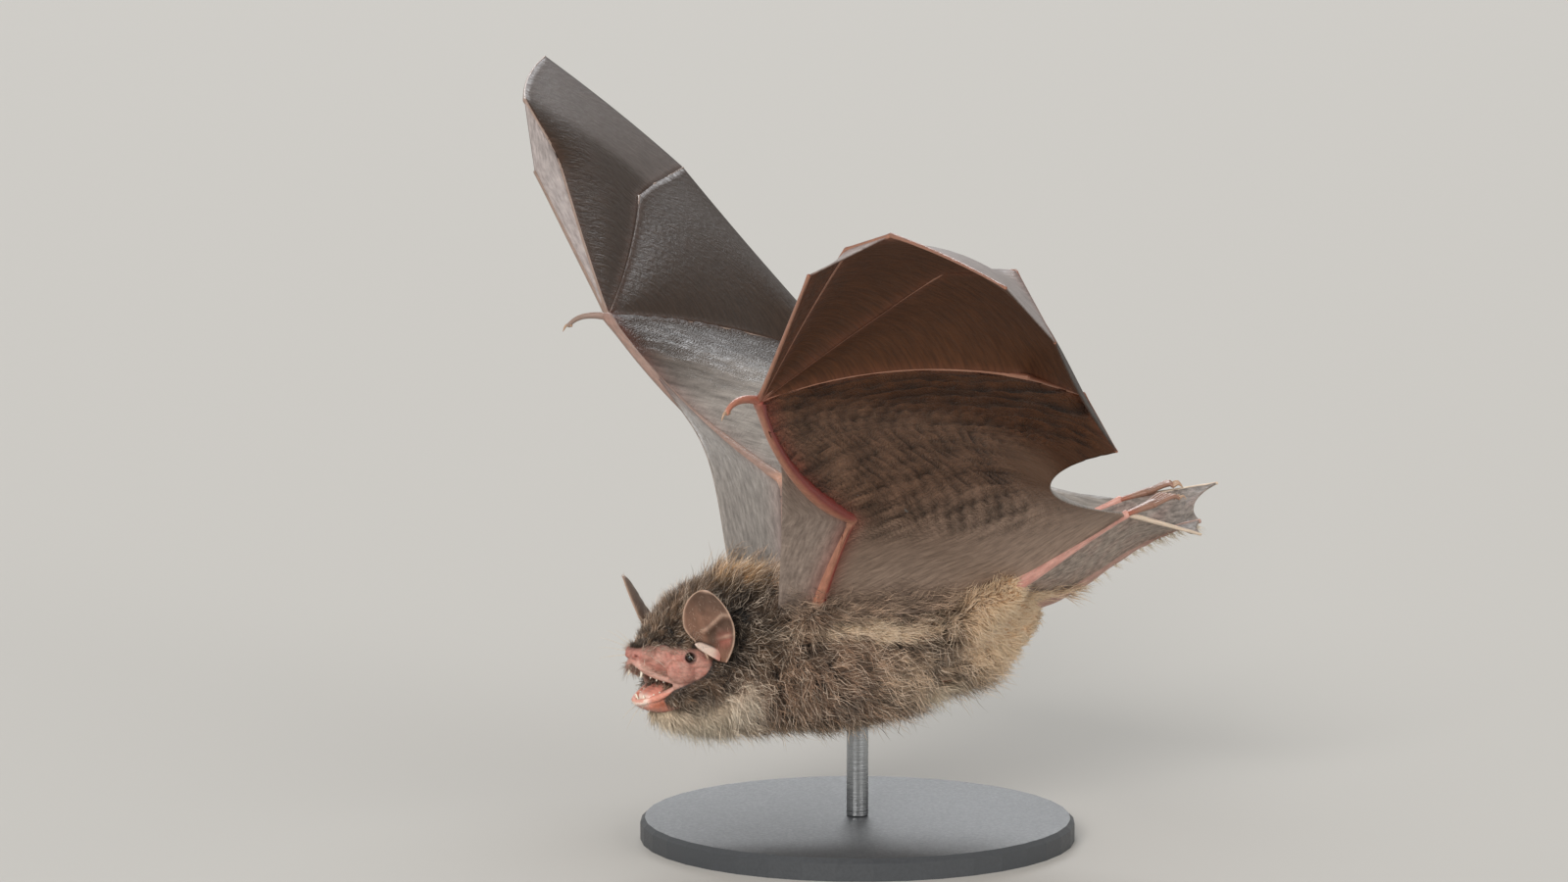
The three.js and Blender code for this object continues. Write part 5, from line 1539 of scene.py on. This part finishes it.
# Pale curled tufts hanging from the edge of the tail membrane.
def growFringe():
    count, tufts = fringe["hairs"], fringe["tufts"]
    start, span = .22, .74              # the stretch of the tail that bears them
    t = start + span * (rng.integers(0, tufts, count) + .5) / tufts
    middle = spline(tailPath)(start + span * (np.arange(tufts) + .5) / tufts) + [0, 0, -.6]
    p = spline(tailPath)(t + rng.normal(0, .004, count)) + rng.normal(0, .12, (count, 3))
    n = np.tile(unit(np.array([.1, -.5, -1.0])), (count, 1))
    lie = np.tile(unit(np.array([1.0, .1, .3])), (count, 1))
    clumps = {"middle": middle, "spacing": 2, "turn": rng.normal(0, .3, tufts), "lift": rng.normal(0, 6, tufts),
              "tone": np.ones(tufts)}
    tip = np.tile(linear(fringe["colour"]), (count, 1)) * rng.uniform(.7, 1, (count, 1))
    length = varied(fringe["length"], .6, 1.3, count)
    layer = {**coatLayers["over"], "curl": .2}
    width = np.full(count, fringe["width"])
    coatMesh("coat_tail_fringe", [growTufts(layer, clumps, p, n, lie, length, width, 0, tip * .7, tip)])


# Whiskers on the muzzle pads, chin and brow: root, heading and length of each, in the head frame.
whiskerPlan = [
    ((1.1, 1.5, .9), (-.75, .8, .5), 4.2), ((1.5, 2.1, .5), (-.7, 1, .25), 4.8),
    ((1.9, 2.3, .0), (-.6, 1, .02), 5.0), ((1.3, 2.0, -.5), (-.75, .9, -.25), 4.2),
    ((2.6, 2.7, -.4), (-.2, 1, -.15), 4.6),
    ((2.2, 2.3, 1.0), (-.35, 1, .55), 4.0), ((4.2, 1.2, -7.3), (-.3, .35, -1), 3.2),
    ((3.4, .8, -6.9), (-.7, .3, -.8), 2.6), ((6.2, 3.9, 2.4), (-.3, .8, .8), 3.4)]
whiskerLook = {"taper": .035, "tip": .01, "nearShare": .6, "colour": "#cfc4b4"}


def whiskersShape():                    # long tapering bows, shorter on the near side
    def whiskerSize(t):
        return whiskerLook["taper"] * (1 - t) ** .7 + whiskerLook["tip"]
    shapes = []
    for side in sides.values():
        share = 1 if side > 0 else whiskerLook["nearShare"]
        for root, out, length in whiskerPlan:
            start = np.array(root) * [1, side, 1]
            end = start + unit(np.array(out) * [1, side, 1]) * length * share
            bow = bowed(start - (end - start) * .12, end + [.25, 0, -.2], (-.1, .22))
            hair = tube(bow, whiskerSize, 5, 14, 1, painted(whiskerLook["colour"]))
            hair.points = fromHead(hair.points)
            shapes.append(hair)
    return together(shapes)


hairRoot, hairTip = markingsAndShade(torso.points + normals(torso))
torso.tint = blend(hairRoot, hairTip, .3)
bareGroin = lump3(torso.points, groin["place"], groin["skinReach"])
torso.tint = blend(torso.tint, linear(groin["skin"]), 0.9 * bareGroin)
for name, plan in coatPlan.items():
    growCoat(name, plan)
growWingHair()
growFaceHair()
growEarHair()
growFringe()


# Whiskers, eyes, teeth, tongue and claws, in horn, enamel or moist flesh: smooth, with a wet coat where asked.
def wetMaterial(name, roughness, coat=0.0):
    return tintMaterial(name, roughness=roughness, coat=coat, coatRoughness=0.1)


def eyeShape(side):                     # a round ball with a slightly fuller clear front
    ball = ellipsoid([0, 0, 0], [eyePlan["radius"]] * 3, rows=30, columns=40)
    out = unit(np.array(eyePlan["facing"]) * [1, side, 1])
    ball.points = ball.points + out * (0.1 * smooth(.35, .72, ball.points @ out))[:, None]
    front = (ball.points @ out) / eyePlan["radius"]
    ball.tint = blend(linear(eyePlan["iris"]), linear(eyePlan["pupil"]), smooth(.72, .8, front))
    ball.points = fromHead(ball.points + np.array(eyePlan["place"]) * [1, side, 1])
    return ball


hand(newMesh("whiskers", whiskersShape(), [wetMaterial("whisker hair", .45)]), "coat")
for name, side in sides.items():
    eyeMaterial = wetMaterial("moist dark eye " + name, .08, 1.0)
    hand(newMesh("eye_" + name + "_ball", eyeShape(side), [eyeMaterial]), "eye", "eye_" + name)
hand(newMesh("teeth", teethShape(), [wetMaterial("tooth enamel", .25, .5)]), "mouth")
hand(newMesh("tongue_slab", tongueShape(), [wetMaterial("moist tongue", .3, .4)]), "mouth", "tongue")
claws = together(clawShapes)
claws.tint = painted(clawColour)(claws)
hand(newMesh("claws", claws, [wetMaterial("claw horn", .35, .2)]), "skin")
print("small pieces are placed")

# One skin, in six zones: 0 hide under the coat, 1 wing membrane, 2 skin over bone, 3 ear, 4 face, 5 tail
# membrane. Streak and grain are noise sizes per mm along the three flow axes, with the tone they give and the
# height in mm they stand up; rough is the range of roughness.
skins = {
    "hide under the coat": {"streak": (.5, .5, .5), "tone": (.8, 1.15), "streakHeight": .03, "grain": (4, 4, 4),
                            "grainHeight": .03, "rough": (.65, .85), "soft": 0},
    "stretched wing leather": {"streak": (2.1, .28, 1), "tone": (.72, 1.3), "streakHeight": .1,
                               "grain": (1.0, .7, 1), "grainHeight": .16, "rough": (.42, .62), "soft": 0,
                               "gloss": .18},
    "thin skin over bone": {"streak": (.5, 1.6, 1), "tone": (.8, 1.18), "streakHeight": .03,
                            "grain": (3.2, 3.2, 1), "grainHeight": .02, "rough": (.34, .5), "soft": .08},
    "ear leather": {"streak": (1.3, .7, 1), "tone": (.84, 1.14), "streakHeight": .05, "grain": (5, 4, 1),
                    "grainHeight": .025, "rough": (.4, .6), "soft": .12},
    "bare moist face": {"streak": (1.5, 1.5, 3.0), "tone": (.8, 1.16), "streakHeight": .1, "grain": (6, 6, 6),
                        "grainHeight": .04, "rough": (.36, .55), "soft": .14},
    "wrinkled tail membrane": {"streak": (1.3, .8, 1), "tone": (.5, 1.35), "streakHeight": .2,
                               "grain": (2.6, 2.6, 1), "grainHeight": .1, "rough": (.42, .62), "soft": 0,
                               "gloss": .2},
}
pleat = {"spacing": .55, "row": 3.0, "slant": .35, "wander": 2.4, "height": .1}


# Living skin: streaks are folds and vessels that crease and tint it, lighter where a streak stands up and darker
# where it sinks, so that its tint is partly the vessels' own colour and partly painted shade and sheen on the
# folds; grain is pores and fine scales that tint it faintly the same way, and the gloss comes and goes with the
# grain, so that the eye reads stretched, slightly greasy leather.
def skinMaterial(name, plan):
    material, tree, surface = newMaterial(name, gloss=plan.get("gloss", .4), soft=plan["soft"],
                                          softReach=(1.0, .4, .25), softScale=0.0005)
    flow = attribute(tree, "flow", "Vector")
    streak = noise(tree, stretched(tree, flow, plan["streak"]))
    grain = noise(tree, stretched(tree, flow, plan["grain"]), 2.0)
    # painted shade and sheen: the tone follows the same noise as the bump, darker in the low parts and lighter in
    # the raised ones
    tones = {0: ranged(tree, streak, *plan["tone"]), 1: ranged(tree, grain, .93, 1.07)}
    both = maths(tree, "MULTIPLY", {}, tones)
    tree.links.new(toned(tree, attribute(tree, "tint", "Color"), both), surface.inputs["Base Color"])
    bump = raised(tree, grain, plan["grainHeight"], raised(tree, streak, plan["streakHeight"]))
    if name == "stretched wing leather":
        bump = raised(tree, pleats(tree, flow), pleat["height"], bump)
    tree.links.new(bump, surface.inputs["Normal"])
    tree.links.new(ranged(tree, grain, *plan["rough"]), surface.inputs["Roughness"])
    return material


# Pleats across the rows of gathers: fine ridges a spacing apart whose slant turns with each row, as strong as
# the gather in flow z says, and broken up by slow noise.
def pleats(tree, flow):
    axes = addNode(tree, "SeparateXYZ", None, {0: flow})
    zigzag = maths(tree, "PINGPONG", {1: pleat["row"]}, {0: axes.outputs["X"]})
    slanted = maths(tree, "MULTIPLY_ADD", {1: pleat["slant"]}, {0: zigzag, 2: axes.outputs["Y"]})
    stray = noise(tree, stretched(tree, flow, (.8, .5, 0)))
    wander = maths(tree, "MULTIPLY_ADD", {1: pleat["wander"]}, {0: stray, 2: slanted})
    turns = maths(tree, "MULTIPLY", {1: 2 * math.pi / pleat["spacing"]}, {0: wander})
    wave = maths(tree, "SINE", {}, {0: turns})
    breaks = ranged(tree, noise(tree, stretched(tree, flow, (.6, .4, 0))), .2, 1, .35, .55)
    broken = maths(tree, "MULTIPLY", {}, {0: wave, 1: breaks})
    return maths(tree, "MULTIPLY", {}, {0: broken, 1: axes.outputs["Z"]})


torso.flow = torso.points.copy()
faceShape.zone = np.full(len(faceShape.quads), 4)
skinShape = together([torso, faceShape, *earShapes, *hindShapes, *wingParts["left"][0], *wingParts["right"][0]])
skin = newMesh("skin", skinShape, [skinMaterial(name, plan) for name, plan in skins.items()])
fleshNodes = ["head", "lower_jaw", "ear_left", "ear_right", "neck", "trunk", "tail"] + [
    f"{part}_{name}" for name in sides for part in (
        "thigh", "shin", "foot", "calcar", "tail_membrane", "upper_arm", "forearm", "thumb", "digit_2",
        "digit_3", "digit_4", "digit_5", "propatagium", "plagiopatagium", "membrane_2_3", "membrane_3_4",
        "membrane_4_5")]
hand(skin, "skin", *fleshNodes)
print("skin:", skinShape.triangles(), "triangles")


# Stand, kept as the CAD made it: colour, metal, range of roughness, and scratches per metre across and along.
def standMaterial(name, colour, metal, rough, across, along):
    material, tree, surface = newMaterial(name, metal=metal)
    place = addNode(tree, "TexCoord").outputs["Object"]
    scratch = noise(tree, stretched(tree, place, (across, across, along)))
    base = addNode(tree, "CombineXYZ", dict(enumerate(linear(colour)))).outputs[0]
    tree.links.new(toned(tree, base, ranged(tree, scratch, .88, 1.1)), surface.inputs["Base Color"])
    tree.links.new(ranged(tree, scratch, *rough), surface.inputs["Roughness"])
    tree.links.new(raised(tree, scratch, .02), surface.inputs["Normal"])
    return material


# powder-coated plate: even grey with an orange-peel grain; drawn steel rod: bright, with fine rings of polish
standLooks = {"stand_base": ("powder-coated plate", "#43464a", 0.0, (.42, .58), 2500, 2500),
              "stand_rod": ("polished steel rod", "#a9acaf", 1.0, (.22, .38), 300, 9000)}
for node, look in standLooks.items():
    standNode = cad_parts[node]
    standNode.data.materials.clear()
    standNode.data.materials.append(standMaterial(*look))
print("stand is finished")
